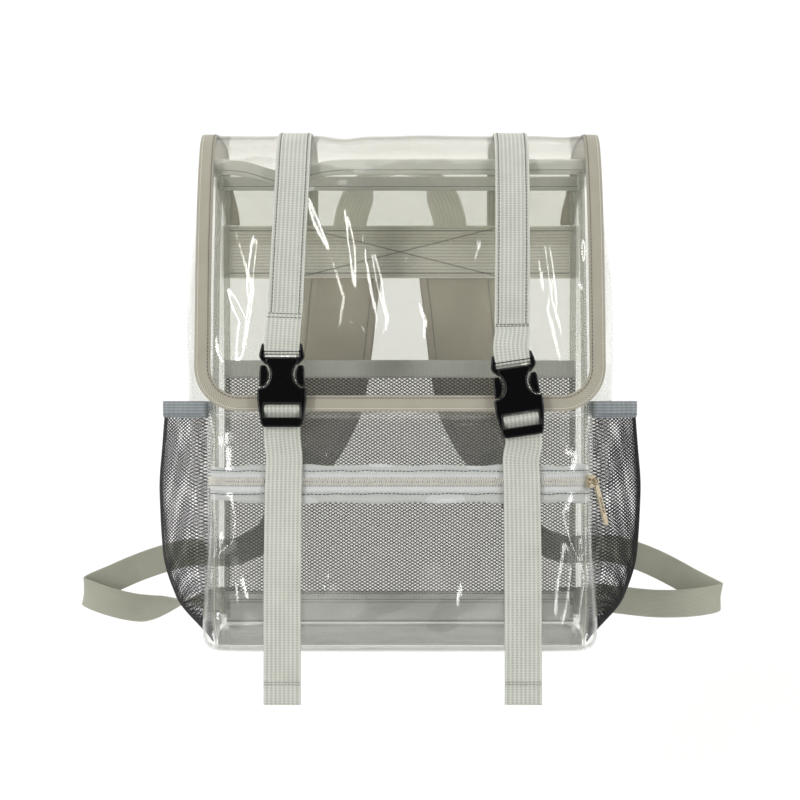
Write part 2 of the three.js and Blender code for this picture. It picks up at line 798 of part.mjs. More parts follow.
function sideNetPoint(side, v, z) {
  const share = z / sidePocketHeight;
  const stand = sidePocketBulge * along(sidePocketRows, 'height', 'stand', Math.min(share, 1));
  const gather = 1 + 0.06 * Math.sin(7 * Math.PI * v) * smooth(0.2, 0.9, share);
  const on = gussetPoint(side, 0.06 + 0.88 * v, z);
  const off = netting + 2 * gap + stand * Math.sin(Math.PI * v) ** 0.65 * gather;
  return new THREE.Vector3(on.x + side * off, on.y, z);
}

const netColumns = [0, 0.04, 0.1, 0.18, 0.28, 0.39, 0.5, 0.61, 0.72, 0.82, 0.9, 0.96, 1];

function sideNet(side) {
  const heights = [0.01, 0.04, 0.1, 0.18, 0.3, 0.45, 0.62, 0.8, 0.995].map((s) => s * sidePocketHeight);
  const outer = heights.map((z) => netColumns.map((v) => sideNetPoint(side, v, z)));
  return levelWall(outer, netting, side);
}

function sideHem(side) {
  const heights = [sidePocketHeight, sidePocketHeight + sideHemHeight];
  const outer = heights.map((z) => netColumns.map((v) => {
    const p = sideNetPoint(side, v, z);
    return p.setX(p.x + (side * (netHemThickness - netting)) / 2);
  }));
  return levelWall(outer, netHemThickness, side);
}

// The flat net pocket hangs inside the back panel and sags forward a little
function innerNetFace(u, z, top) {
  const share = (z - innerPocketFoot) / (top - innerPocketFoot);
  const sag = innerPocketSag * Math.sin(Math.PI * 0.62 * share) * (1 - u * u);
  return backFace(z) - pvc - gap - sag;
}

function innerNet(low, high, rows, thickness) {
  const top = innerPocketTop + innerHemHeight;
  const grid = (depth) => spread(rows, low, high).map((z) => spread(10, -1, 1).map((u) => {
    const half = bodyAt(z).back - 2 * pvc - 2 * gap;
    return new THREE.Vector3(u * half, innerNetFace(u, z, top) - depth, z);
  }));
  return wallBetween(grid(thickness), grid(0));
}

// Back band and haul loop

const flapStack = gap + pvc + gap;
const bandStack = flapStack + webbing + gap;

function backBand() {
  const half = backPanelWidth / 2;
  const z = bandTop - bandHeight / 2;
  const stations = [-1, -0.988, -0.975, -0.5, 0, 0.5, 0.975, 0.988, 1].map((u) => {
    const stack = Math.abs(u) > 0.98 ? gap : flapStack;
    const bow = Math.abs(u) === 1 || Math.abs(u) <= 0.975 ? 0 : (flapStack - gap) / 2;
    return {
      at: new THREE.Vector3(u * half, backFace(bandTop) + stack + bow + webbing / 2 + bandEase, z),
      across: new THREE.Vector3(0, 0, 1),
    };
  });
  return strap(stations, bandHeight, webbing);
}

// The panel behind the band is fullest at the band's foot
const bandEase = Math.max(backFace(bandTop - bandHeight) - backFace(bandTop), 0);
const bandOuter = backFace(bandTop) + bandEase + bandStack;

function haulStation(row, side) {
  const turn = THREE.MathUtils.degToRad(row.twist);
  const y = bandOuter + webbing / 2 + row.reach * haulReach;
  return {
    at: new THREE.Vector3(side * row.across * haulSpacing, y, bandTop + row.up * haulRise),
    across: new THREE.Vector3(Math.cos(turn), -side * Math.sin(turn), 0),
  };
}

function haulRow(up) {
  const columns = ['across', 'reach', 'twist'];
  const row = { up };
  for (const column of columns) row[column] = along(haulRows, 'up', column, up);
  return row;
}

function haulLoop() {
  const rises = [-0.58, -0.3, -0.05, 0.1, 0.25, 0.4, 0.55, 0.68, 0.79, 0.88, 0.94, 0.98];
  const left = rises.map((up) => haulStation(haulRow(up), -1));
  const right = rises.map((up) => haulStation(haulRow(up), 1)).reverse();
  for (const station of right) station.across.negate();
  const crown = haulStation({ ...haulRows[haulRows.length - 1] }, -1);
  return strap([...left, crown, ...right], haulWidth, webbing);
}

const crown = new THREE.Vector3(0, bandOuter + webbing / 2 + haulReach, bandTop + haulRise - webbing / 2);

// Front straps

const acrossX = new THREE.Vector3(1, 0, 0);

// Webbing turns round a square bar at this radius, clear of its corners
function turnRadius(bar) {
  return bar * Math.SQRT1_2 + gap + webbing / 2;
}

// Half a turn of webbing round a bar, seen from the side
function turnRound(x, bar, from, to, count = 6) {
  const radius = turnRadius(turnBar);
  return spread(count, from, to).map((degrees) => {
    const turn = THREE.MathUtils.degToRad(degrees);
    const y = bar.y - radius * Math.cos(turn);
    return { at: new THREE.Vector3(x, y, bar.z - radius * Math.sin(turn)), across: acrossX };
  });
}

const clipOutline = {
  ear: 0.5, bar: 0.405, slot: 0.345, neck: 0.253, tab: 0.237, sill: -0.024,
  window: -0.21, ladder: -0.27, foot: -0.385, end: -0.5,
};

function buckleCentre(strapRow) {
  const z = buckleHeight * strapRow.up;
  const flapFace = onFlap(0, sheetLength, pvc / 2).y;
  const y = flapFace - pvc / 2 - gap - tape - buckleStandOff - buckleThickness / 2;
  return new THREE.Vector3(strapRow.side * strapSpacing * strapRow.low, y, z);
}

function barAt(strapRow, share) {
  const centre = buckleCentre(strapRow);
  return new THREE.Vector3(centre.x, centre.y, centre.z + share * buckleLength);
}

function upperStrap(row) {
  const top = row.side * strapSpacing * row.top;
  const low = row.side * strapSpacing * row.low;
  const bar = barAt(row, clipOutline.bar);
  const radius = turnRadius(turnBar);
  const reachZ = bar.z + 26;
  const stations = [];
  const slant = Math.sin(THREE.MathUtils.degToRad(row.turn));
  const hang = low - slant * clipOutline.bar * buckleLength;
  const lie = pvc + gap + 0.35 + webbing / 2;
  for (const s of spread(32, 4, flapLength - 40)) {
    const z = onFlap(0, s, 0).z;
    const onFront = s > flapLength * 0.45;
    if (onFront && z < reachZ) break;
    const overBand = 1 - smooth(flapTuck + 6, flapTuck + 24, s);
    const share = smooth(flapLength * 0.4, flapLength, s);
    const at = onFlap(top + (hang - top) * share, s, lie);
    at.y = THREE.MathUtils.lerp(at.y, bandOuter + webbing / 2, overBand);
    stations.push({ at, across: acrossX });
  }
  const high = stations[stations.length - 1].at;
  const front = bar.y - radius;
  for (const t of [0.3, 0.6, 0.85]) {
    const z = THREE.MathUtils.lerp(high.z, bar.z, t);
    const y = THREE.MathUtils.lerp(high.y, front, t * (2 - t));
    const rise = z - buckleHeight * row.up;
    const straight = THREE.MathUtils.lerp(high.x, hang, t) + turnShare(row, z) * slant * rise;
    const x = rise < clipOutline.ear * buckleLength + earClear ? low : straight;
    stations.push({ at: new THREE.Vector3(x, y, z), across: acrossX });
  }
  stations.push(...turnRound(low, bar, 0, 180));
  const lap = webbing + gap;
  for (const t of [0.4, 0.75, 1]) {
    const z = bar.z + t * 13;
    const frontY = THREE.MathUtils.lerp(front, high.y, (z - bar.z) / (high.z - bar.z) * 0.6);
    const y = THREE.MathUtils.lerp(bar.y + radius, frontY + lap, smooth(0, 0.8, t));
    stations.push({ at: new THREE.Vector3(low, Math.max(y, frontY + lap), z), across: acrossX });
  }
  turnStations(stations, row, (p) => p.z < reachZ);
  return strap(stations, upperStrapWidth, webbing);
}

// How far the webbing at height z follows the buckle's slant
function turnShare(row, z) {
  const off = Math.abs(z - buckleHeight * row.up);
  return 1 - smooth(buckleLength / 2, buckleLength / 2 + 30, off);
}

// The right-hand buckle hangs at a slant, and the webbing at it follows
function turnStations(stations, row, test) {
  const centre = buckleCentre(row);
  const turn = THREE.MathUtils.degToRad(row.turn);
  for (const station of stations) {
    const p = station.at;
    if (p.y > centre.y + buckleThickness || !test(p)) continue;
    const share = turnShare(row, p.z);
    turnPoint(p, centre, turn * share);
    station.across = acrossX.clone().applyAxisAngle(new THREE.Vector3(0, 1, 0), -turn * share);
  }
}

function turnPoint(point, centre, turn) {
  point.sub(centre).applyAxisAngle(new THREE.Vector3(0, 1, 0), -turn).add(centre);
}

function faceWithCoil(x, z) {
  const proud = Math.max(-coilFront, 0) * (1 - smooth(6, 18, Math.abs(z - zipHeight)));
  return pocketFaceAt(x, z) - proud;
}

// Anchored at the base seam, up the pocket, round the ladder bar and down as a tail
function lowerStrap(row) {
  const centre = buckleCentre(row);
  const bar = barAt(row, clipOutline.ladder);
  bar.y += ladderSetBack;
  const tailX = row.side * strapSpacing * row.tail;
  const tipX = row.side * strapSpacing * row.tip;
  const entry = centre.z + clipOutline.end * buckleLength;
  const backY = centre.y + buckleThickness / 2 - gap - webbing / 2;
  const stations = [];
  const lie = gap + webbing / 2;
  const faceTop = Math.min(pocketHeight * 0.8, entry - strapFree / 2);
  const rises = [...strapRises.map((share) => share * zipHeight), ...coilSteps.map((step) => zipHeight + step)];
  const risen = rises.filter((z) => z < faceTop - coilSteps[2]);
  for (const z of [...risen, faceTop]) {
    stations.push({ at: new THREE.Vector3(tailX, faceWithCoil(tailX, z) - lie, z), across: acrossX });
  }
  stations.push({ at: new THREE.Vector3(centre.x, backY, entry - 6), across: acrossX });
  stations.push({ at: new THREE.Vector3(centre.x, backY, entry + 6), across: acrossX });
  stations.push(...turnRound(centre.x, bar, 180, 360));
  const layer = backY - webbing - gap;
  const parted = layer - 0.6 * gap;
  const front = bar.y - turnRadius(turnBar);
  const footTop = centre.z + clipOutline.foot * buckleLength;
  stations.push({ at: new THREE.Vector3(centre.x, front, bar.z - turnBar / 2), across: acrossX });
  stations.push({ at: new THREE.Vector3(centre.x, layer, footTop + turnBar), across: acrossX });
  stations.push({ at: new THREE.Vector3(centre.x, parted, entry - 6), across: acrossX });
  let furthest = Infinity;
  const drops = risen.slice(5).reverse();
  for (const z of [faceTop, ...drops, drops[drops.length - 1] / 2, 0, -tailDrop * 0.47, -tailDrop]) {
    const spare = gap * (1 + smooth(drops[0], faceTop, z));
    const face = z > 0 ? faceWithCoil(tailX, z) - lie - webbing - spare : Infinity;
    furthest = Math.min(furthest, face);
    const y = z < strapRises[6] * zipHeight ? furthest : face;
    const x = THREE.MathUtils.lerp(tailX, tipX, smooth(faceTop, -tailDrop, z));
    stations.push({ at: new THREE.Vector3(x, y, z), across: acrossX });
  }
  turnStations(stations, row, (p) => p.z > entry - 12);
  return strap(stations, lowerStrapWidth, webbing);
}

// Side-release buckles

function mirroredOutline(right) {
  const left = right.map(([x, z]) => [-x, z]).reverse();
  return [...right, ...left];
}

function placeBuckle(geometry, row) {
  const centre = buckleCentre(row);
  const turn = THREE.MathUtils.degToRad(row.turn);
  geometry.rotateX(Math.PI / 2);
  geometry.applyMatrix4(new THREE.Matrix4().makeRotationY(-turn));
  geometry.translate(centre.x, centre.y, centre.z);
  return geometry;
}

// Plug half: ears with the webbing bar, a neck and two sprung side arms
function buckleMale(row) {
  const half = buckleWidth / 2;
  const at = (share) => share * buckleLength;
  const c = clipOutline;
  const ears = mirroredOutline([
    [half * 0.2, at(c.neck)], [half * 0.68, at(c.neck)], [half * 0.885, at(c.neck + 0.05)],
    [half * 0.93, at(c.slot + 0.01)], [half * 0.84, at(c.ear - 0.03)], [half * 0.78, at(c.ear)],
    [half * 0.76, at(c.ear)], [half * 0.76, at(c.slot - 0.01)], [half * 0.72, at(c.slot - 0.017)],
  ]);
  const plate = extruded(polygon(ears), buckleThickness * 0.8);
  const bar = new THREE.BoxGeometry(half * 1.6, turnBar, turnBar);
  bar.translate(0, at(c.bar), 0);
  const arm = (side) => {
    const points = [
      [half * 0.46, at(c.neck) + 1], [half * 0.66, at(c.neck) + 1], [half * 0.92, at(c.tab)],
      [half * 0.93, at(c.sill) + 0.8], [half * 0.7, at(c.sill) + 0.5], [half * 0.52, at(0.1)],
    ];
    const outline = points.map(([x, z]) => [side * x, z]);
    if (side < 0) outline.reverse();
    return extruded(polygon(outline), buckleThickness * 0.7);
  };
  return placeBuckle(joined([plate, bar, arm(1), arm(-1)]), row);
}

const windowHalf = lowerStrapWidth / 2 + 2 * gap;

// Socket half: body between the arms, and a ladder frame for the lower strap
function buckleFemale(row) {
  const half = buckleWidth / 2;
  const at = (share) => share * buckleLength;
  const c = clipOutline;
  const body = polygon(mirroredOutline([
    [half * 0.4, at(c.end)], [half * 0.76, at(c.end)], [half * 0.86, at(c.end + 0.05)],
    [half * 0.96, at(c.window - 0.05)], [half, at(c.window + 0.05)], [half * 0.98, at(c.sill)],
    [half * 0.68, at(c.sill) - 0.3], [half * 0.46, at(0.1)], [half * 0.4, at(c.neck) - gap],
  ]));
  const window = new THREE.Path();
  window.moveTo(-windowHalf, at(c.window));
  window.lineTo(windowHalf, at(c.window));
  window.lineTo(windowHalf, at(c.foot));
  window.lineTo(-windowHalf, at(c.foot));
  window.closePath();
  const upper = body.clone();
  upper.holes.push(window);
  const deep = extruded(upper, buckleThickness);
  const trimmed = toSolid(deep).subtract(toSolid(behindFoot(at)));
  const bar = new THREE.BoxGeometry(half * 1.7, turnBar, turnBar);
  bar.translate(0, at(c.ladder), -ladderSetBack);
  const whole = trimmed.add(toSolid(bar));
  return placeBuckle(fromSolid(whole), row);
}

// Room behind the foot bar, where both runs of webbing pass
function behindFoot(at) {
  const room = 2 * webbing + 3 * gap;
  const spare = 4;
  const tall = at(clipOutline.foot - clipOutline.end) + spare;
  const box = new THREE.BoxGeometry(2 * windowHalf, tall, room + spare);
  const back = -(buckleThickness + spare - room) / 2;
  box.translate(0, at((clipOutline.foot + clipOutline.end) / 2), back);
  return box;
}

// Shoulder straps

const padLength = padTop - padEnd;

function padAt(down) {
  const read = (column) => along(padRows, 'down', column, down);
  const z = padTop - down * padLength;
  return {
    x: padSpacing * read('across'),
    y: bandOuter + webbing + gap + padBow * read('bow'),
    z,
    width: padWidth * read('width'),
    thick: padThickness * read('thick'),
  };
}

// Middle line of the pad with its side direction, in the plane of the back
function padStation(down, side) {
  const here = padAt(down);
  const before = padAt(Math.max(down - 0.01, 0));
  const after = padAt(Math.min(down + 0.01, 1));
  const run = new THREE.Vector3(side * (after.x - before.x), after.y - before.y, after.z - before.z);
  run.normalize();
  const across = new THREE.Vector3(1, 0, 0);
  across.addScaledVector(run, -across.dot(run)).normalize();
  const out = across.clone().cross(run).normalize();
  if (out.y < 0) out.negate();
  return { ...here, x: side * here.x, run, across, out };
}

const padDowns = [0, 0.06, 0.13, 0.2, 0.28, 0.37, 0.46, 0.55, 0.64, 0.73, 0.81, 0.88, 0.94, 0.98, 1];

function shoulderPad(side) {
  const columns = [-1, -0.8, -0.45, 0, 0.45, 0.8, 1];
  const sheet = (face) => padDowns.map((down) => {
    const s = padStation(down, side);
    const ends = 0.25 + 0.75 * smooth(0, 0.05, down) * (1 - smooth(0.9, 1, down));
    return columns.map((u) => {
      const crown = Math.sqrt(Math.max(1 - Math.abs(u) ** 4, 0));
      const thick = pvc + (s.thick - pvc) * crown * ends;
      const p = new THREE.Vector3(s.x, s.y, s.z);
      p.addScaledVector(s.across, u * (s.width / 2 - gap - tape));
      return p.addScaledVector(s.out, face ? thick : 0);
    });
  });
  return wallBetween(sheet(true), sheet(false));
}

const lockSpacing = 9;
const lockBar = 2.4;
const tabReach = 16;

// Ladder lock at the foot of the pad, in line with it
function adjusterFrame(side) {
  const end = padStation(1, side);
  const at = new THREE.Vector3(end.x, end.y, end.z).addScaledVector(end.out, pvc / 2);
  const place = (out, down) => at.clone().addScaledVector(end.out, out).addScaledVector(end.run, down);
  return { ...end, place };
}

function adjuster(side) {
  const frame = adjusterFrame(side);
  const wide = shoulderWebWidth / 2 + 1;
  const half = wide + 3;
  const tall = lockSpacing + lockBar / 2;
  const body = polygon(mirroredOutline([
    [half * 0.4, -tall], [half * 0.9, -tall], [half, -tall + 2], [half, tall - 2],
    [half * 0.9, tall], [half * 0.4, tall],
  ]));
  for (const low of [-lockSpacing + lockBar / 2, lockBar / 2]) {
    const high = low + lockSpacing - lockBar;
    const slot = polygon([[-wide, low], [wide, low], [wide, high], [-wide, high]]);
    body.holes.push(new THREE.Path(slot.getPoints()));
  }
  const geometry = extruded(body, lockBar);
  const basis = new THREE.Matrix4().makeBasis(frame.across, frame.run, frame.across.clone().cross(frame.run));
  return geometry.applyMatrix4(basis.setPosition(frame.place(0, tabReach)));
}

// Short loop of webbing that holds the ladder lock on the pad
function padTab(side) {
  const { place, across } = adjusterFrame(side);
  const radius = turnRadius(lockBar);
  const lay = pvc / 2 + gap + webbing / 2;
  const bar = tabReach - lockSpacing;
  const stations = [[-lay, -18], [-lay, 1]].map(([out, run]) => ({ at: place(out, run), across }));
  for (const degrees of spread(6, 180, 0)) {
    const turn = THREE.MathUtils.degToRad(degrees);
    stations.push({ at: place(radius * Math.cos(turn), bar + radius * Math.sin(turn)), across });
  }
  const thick = padStation(1 - 18 / padLength, side).thick;
  stations.push({ at: place(lay, 1), across });
  stations.push({ at: place(thick + lay + 1, -18), across });
  return strap(stations, shoulderWebWidth * 0.96, webbing);
}

// Side loops, from the ladder lock out, round and back to the lower corner:
// shares of the reach, the bag's half depth and the loop's height
const sideLoops = {
  left: [
    { out: 0.44, back: 1.34, up: 1.32, ax: -0.55, ay: 0.0, az: 0.83 },
    { out: 0.52, back: 1.3, up: 1.12, ax: -0.35, ay: 0.0, az: 0.94 },
    { out: 0.66, back: 1.22, up: 1.12, ax: -0.1, ay: 0.0, az: 1.0 },
    { out: 0.8, back: 1.15, up: 0.93, ax: -0.1, ay: 0.0, az: 1.0 },
    { out: 0.9, back: 1.08, up: 0.72, ax: -0.15, ay: 0.0, az: 1.0 },
    { out: 0.97, back: 1.02, up: 0.57, ax: 0.0, ay: 0.0, az: 1.0 },
    { out: 0.985, back: 0.93, up: 0.53, ax: 0.08, ay: 0.0, az: 1.0 },
    { out: 0.965, back: 0.85, up: 0.49, ax: 0.1, ay: 0.0, az: 1.0 },
    { out: 0.88, back: 0.82, up: 0.35, ax: 0.1, ay: 0.1, az: 1.0 },
    { out: 0.8, back: 0.87, up: 0.27, ax: 0.0, ay: 0.35, az: 0.95 },
    { out: 0.74, back: 0.9, up: 0.31, ax: 0.0, ay: 0.8, az: 0.6 },
    { out: 0.68, back: 0.96, up: 0.36, ax: 0.0, ay: 1.0, az: 0.0 },
    { out: 0.62, back: 1.02, up: 0.38, ax: 0.0, ay: 0.8, az: -0.6 },
  ],
  right: [
    { out: 0.44, back: 1.34, up: 1.32, ax: 0.55, ay: 0.0, az: 0.83 },
    { out: 0.52, back: 1.3, up: 1.16, ax: 0.35, ay: 0.0, az: 0.94 },
    { out: 0.66, back: 1.24, up: 1.18, ax: 0.2, ay: 0.0, az: 1.0 },
    { out: 0.8, back: 1.18, up: 0.96, ax: 0.25, ay: 0.0, az: 1.0 },
    { out: 0.92, back: 1.1, up: 0.64, ax: 0.28, ay: 0.0, az: 1.0 },
    { out: 0.985, back: 1.02, up: 0.48, ax: 0.1, ay: 0.0, az: 1.0 },
    { out: 1.0, back: 0.93, up: 0.45, ax: 0.1, ay: 0.0, az: 1.0 },
    { out: 0.98, back: 0.85, up: 0.42, ax: 0.05, ay: 0.0, az: 1.0 },
    { out: 0.9, back: 0.82, up: 0.36, ax: 0.0, ay: 0.0, az: 1.0 },
    { out: 0.8, back: 0.87, up: 0.34, ax: 0.0, ay: 0.0, az: 1.0 },
    { out: 0.7, back: 0.94, up: 0.38, ax: 0.05, ay: 0.0, az: 1.0 },
    { out: 0.62, back: 1.02, up: 0.42, ax: 0.05, ay: 0.0, az: 1.0 },
  ],
};

function sideLoopPoint(row, side) {
  return {
    at: new THREE.Vector3(side * row.out * sideLoopReach, row.back * (mainDepth / 2),
      row.up * sideLoopHeight),
    across: new THREE.Vector3(row.ax, row.ay, row.az),
  };
}

function shoulderWeb(name, side) {
  const { place, across } = adjusterFrame(side);
  const radius = turnRadius(lockBar);
  const stations = [];
  for (const [out, run] of [[radius + 1, 34], [radius + 1, 26], [radius + 0.6, 18]]) {
    stations.push({ at: place(out, tabReach + run), across });
  }
  for (const degrees of spread(6, 0, 180)) {
    const turn = THREE.MathUtils.degToRad(degrees);
    stations.push({ at: place(radius * Math.cos(turn), tabReach - radius * Math.sin(turn)), across });
  }
  stations.push({ at: place(-radius, tabReach + 3), across });
  stations.push({ at: place(-radius - 0.6, tabReach + 18), across });
  const rows = sideLoops[name].map((row) => sideLoopPoint(row, side));
  const line = new THREE.CatmullRomCurve3(rows.map((row) => row.at), false, 'centripetal');
  const steps = (rows.length - 1) * 2;
  for (let i = 0; i <= steps; i += 1) {
    const k = Math.min(Math.floor(i / 2), rows.length - 2);
    const mix = i / 2 - k;
    const tilt = rows[k].across.clone().lerp(rows[k + 1].across, mix);
    stations.push({ at: line.getPoint(i / steps), across: tilt.multiplyScalar(side) });
  }
  const corner = bodyAt(anchorHeight);
  const seat = backFace(anchorHeight + shoulderWebWidth / 2) + gap + webbing / 2;
  for (const inset of [1.06, 1.0, 0.9]) {
    const lift = inset > 1 ? 1.5 : 0;
    stations.push({
      at: new THREE.Vector3(side * inset * corner.back, seat + lift, anchorHeight),
      across: new THREE.Vector3(0, side < 0 && inset > 1 ? -0.3 : 0, 1),
    });
  }
  return strap(stations, shoulderWebWidth, webbing);
}

// Assembly

addPiece('back_panel', backPanel(), 'clear_pvc');
addPiece('front_panel', frontPanel(), 'clear_pvc');
addPiece('left_gusset', gusset(-1), 'clear_pvc');
addPiece('right_gusset', gusset(1), 'clear_pvc');
addPiece('base_panel', basePanel(), 'clear_pvc');
addPiece('mouth_binding', mouthBinding(), 'binding_tape');
addPiece('flap', flap(), 'clear_pvc');
addPiece('flap_binding', flapBinding(), 'binding_tape');
addPiece('pocket_upper', upperPocket(), 'clear_pvc');
addPiece('pocket_lower', lowerPocket(), 'clear_pvc');
addPiece('zip_tape_upper', zipTape(true), 'zip_tape');
addPiece('zip_tape_lower', zipTape(false), 'zip_tape');
addPiece('zip_coil', zipCoil(), 'zip_coil');
addPiece('zip_slider', zipSlider(), 'pale_gold');
addPiece('zip_pull', zipPull(), 'pale_gold');
addPiece('inner_net_pocket', innerNet(innerPocketFoot, innerPocketTop - gap, 8, netting), 'black_net');
addPiece('inner_pocket_hem',
  innerNet(innerPocketTop, innerPocketTop + innerHemHeight, 1, netHemThickness), 'binding_tape');
addPiece('back_band', backBand(), 'pale_webbing');
addPiece('haul_loop', haulLoop(), 'olive_webbing');

for (const row of frontStraps) {
  addPiece(`${row.name}_upper_strap`, upperStrap(row), 'pale_webbing');
  addPiece(`${row.name}_lower_strap`, lowerStrap(row), 'pale_webbing');
  addPiece(`${row.name}_buckle_plug`, buckleMale(row), 'black_plastic');
  addPiece(`${row.name}_buckle_socket`, buckleFemale(row), 'black_plastic');
}

for (const [name, side] of [['left', -1], ['right', 1]]) {
  addPiece(`${name}_side_net`, sideNet(side), 'black_net');
  addPiece(`${name}_side_hem`, sideHem(side), 'grey_elastic');
  addPiece(`${name}_shoulder_pad`, shoulderPad(side), 'pad_cloth');
  addPiece(`${name}_pad_tab`, padTab(side), 'olive_webbing');
  addPiece(`${name}_adjuster`, adjuster(side), 'black_plastic');
  addPiece(`${name}_shoulder_web`, shoulderWeb(name, side), 'olive_webbing');
}

// The part's own frame starts at the underside of the haul loop's crown
bag.position.copy(crown).negate();
const backpack = new THREE.Group();
backpack.add(bag);

export default backpack;
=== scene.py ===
# %% [markdown]
# # A clear flap-top backpack
# A bag like this is cut from polished PVC film, and its edges are closed with woven binding tape.
# Webbing straps, black nets, a zip and moulded buckles are sewn to the film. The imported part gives
# every size and place. This lesson dresses it: thin curved film, real threads, and stitches.
# The CAD solids of cloth and film are coarse on purpose, so each one is rebuilt finer from the same
# rules, and the small hard pieces keep their place.

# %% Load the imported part
import json
import math

import bpy
import numpy as np
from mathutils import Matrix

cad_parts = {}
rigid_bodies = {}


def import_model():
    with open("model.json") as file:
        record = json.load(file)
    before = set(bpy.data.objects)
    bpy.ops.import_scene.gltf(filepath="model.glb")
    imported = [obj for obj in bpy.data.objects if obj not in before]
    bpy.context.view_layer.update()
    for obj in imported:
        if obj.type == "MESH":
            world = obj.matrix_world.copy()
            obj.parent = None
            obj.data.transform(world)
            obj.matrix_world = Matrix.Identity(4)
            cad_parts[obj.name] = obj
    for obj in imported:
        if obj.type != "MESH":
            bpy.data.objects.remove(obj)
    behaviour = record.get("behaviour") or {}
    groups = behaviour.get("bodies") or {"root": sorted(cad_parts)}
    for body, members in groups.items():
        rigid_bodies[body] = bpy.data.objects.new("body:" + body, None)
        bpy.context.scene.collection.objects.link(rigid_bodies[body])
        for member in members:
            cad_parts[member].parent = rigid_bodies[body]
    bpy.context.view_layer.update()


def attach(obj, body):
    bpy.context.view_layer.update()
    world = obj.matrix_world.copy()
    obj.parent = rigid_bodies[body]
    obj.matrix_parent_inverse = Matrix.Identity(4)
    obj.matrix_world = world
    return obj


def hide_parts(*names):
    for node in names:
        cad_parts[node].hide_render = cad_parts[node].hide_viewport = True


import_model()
scene = bpy.context.scene

# %% [markdown]
# ## Camera
# The photograph is level with the middle of the bag and straight in front of it. The way the rim at
# the back is narrower than the rim at the front gives the distance, 1.36 m from the haul loop.

# %% Camera
LENS_MM, CAMERA_DISTANCE, CAMERA_HEIGHT = 66.33, 1.3619, -0.2103
camera_data = bpy.data.cameras.new("camera")
camera_data.sensor_width = 36
camera_data.lens = LENS_MM
camera = bpy.data.objects.new("camera", camera_data)
camera.location = (0, -CAMERA_DISTANCE, CAMERA_HEIGHT)
camera.rotation_euler = (math.radians(90), 0, 0)
scene.collection.objects.link(camera)
scene.camera = camera
print("camera looks level from", tuple(camera.location))

# %% [markdown]
# ## Small helpers
# Colours are written as sRGB hex values, as a designer reads them off a screen, and one function
# turns them to the linear values that a shader works in. Another adds one node with its settings.

# %% Colour and node helpers
def colour(hex_value, alpha=1.0):
    """Linear RGBA of an sRGB hex value."""
    parts = [int(hex_value[i:i + 2], 16) / 255 for i in (0, 2, 4)]
    return [c / 12.92 if c <= 0.04045 else ((c + 0.055) / 1.055) ** 2.4 for c in parts] + [alpha]


def add(tree, kind, sockets=None, **settings):
    """Adds a node. A socket is set by name or number, to a value or to another node's output."""
    made = tree.nodes.new(kind)
    for key, value in settings.items():
        setattr(made, key, value)
    for key, value in (sockets or {}).items():
        if isinstance(value, bpy.types.NodeSocket):
            tree.links.new(value, made.inputs[key])
        else:
            made.inputs[key].default_value = value
    return made


def maths(tree, operation, *values):
    sockets = dict(enumerate(values))
    return add(tree, "ShaderNodeMath", sockets, operation=operation).outputs[0]


def material(name):
    made = bpy.data.materials.new(name)
    made.use_nodes = True
    made.node_tree.nodes.clear()
    return made, made.node_tree


def surface(tree, shader):
    add(tree, "ShaderNodeOutputMaterial", {"Surface": shader})


print("webbing colour, linear:", [round(c, 3) for c in colour("d3d6cd")])

# %% [markdown]
# ## PVC film
# Soft PVC film is clear, pressed smooth between rollers, and slightly grey where several layers
# overlap. What the eye reads is gloss: it reflects a few per cent straight on and nearly everything at
# a grazing angle. Layer Weight's Facing gives that angle, and its fifth power is the usual rule for
# how reflection grows. The clear share is a Transparent shader, which lets the straps and nets behind
# stay sharp. Fine creases are a bump from noise drawn out along the panel, about 5 mm by 50 mm. Where
# the flap lies level over the mouth, its clear share is mixed toward a darker grey, a painted shade.

# %% PVC film material
def pvc_film(name, tint, crease_mm, crease_height, milky=0.008, haze_tone="e8eae6", level_painted_shade=0.0):
    made, tree = material(name)
    place = add(tree, "ShaderNodeTexCoord").outputs["Object"]
    drawn = add(tree, "ShaderNodeMapping", {"Vector": place, "Scale": (1, 1, 0.1)}).outputs[0]
    fine = add(tree, "ShaderNodeTexNoise", {"Vector": drawn, "Scale": 1000 / crease_mm, "Detail": 1.5,
                                            "Roughness": 0.4, "Distortion": 0.6}).outputs[0]
    soft = add(tree, "ShaderNodeTexNoise", {"Vector": place, "Scale": 1000 / 55, "Detail": 1.0}).outputs[0]
    height = maths(tree, "ADD", maths(tree, "MULTIPLY", fine, 0.05), soft)
    bump = add(tree, "ShaderNodeBump", {"Height": height, "Strength": 1.0,
                                        "Distance": crease_height}).outputs[0]
    facing = add(tree, "ShaderNodeLayerWeight", {"Blend": 0.5, "Normal": bump}).outputs["Facing"]
    share = maths(tree, "MULTIPLY_ADD", maths(tree, "POWER", facing, 5.0), 0.85, 0.038)
    through = colour(tint)
    # Painted shade: where the film lies level, its clear colour is mixed toward a darker grey.
    if level_painted_shade:
        facet = add(tree, "ShaderNodeNewGeometry").outputs["True Normal"]
        turned = add(tree, "ShaderNodeSeparateXYZ", {0: facet})
        level = maths(tree, "POWER", maths(tree, "ABSOLUTE", turned.outputs[2]), 3.0)
        through = add(tree, "ShaderNodeMix", {0: maths(tree, "MULTIPLY", level, level_painted_shade), 6: through,
                                              7: colour("d8d6d0")}, data_type="RGBA").outputs[2]
    clear = add(tree, "ShaderNodeBsdfTransparent", {"Color": through}).outputs[0]
    haze = add(tree, "ShaderNodeBsdfDiffuse", {"Color": colour(haze_tone)}).outputs[0]
    film = add(tree, "ShaderNodeMixShader", {0: milky, 1: clear, 2: haze}).outputs[0]
    gloss = add(tree, "ShaderNodeBsdfGlossy", {"Color": colour("ffffff"), "Roughness": 0.1,
                                               "Normal": bump}).outputs[0]
    surface(tree, add(tree, "ShaderNodeMixShader", {0: share, 1: film, 2: gloss}).outputs[0])
    return made


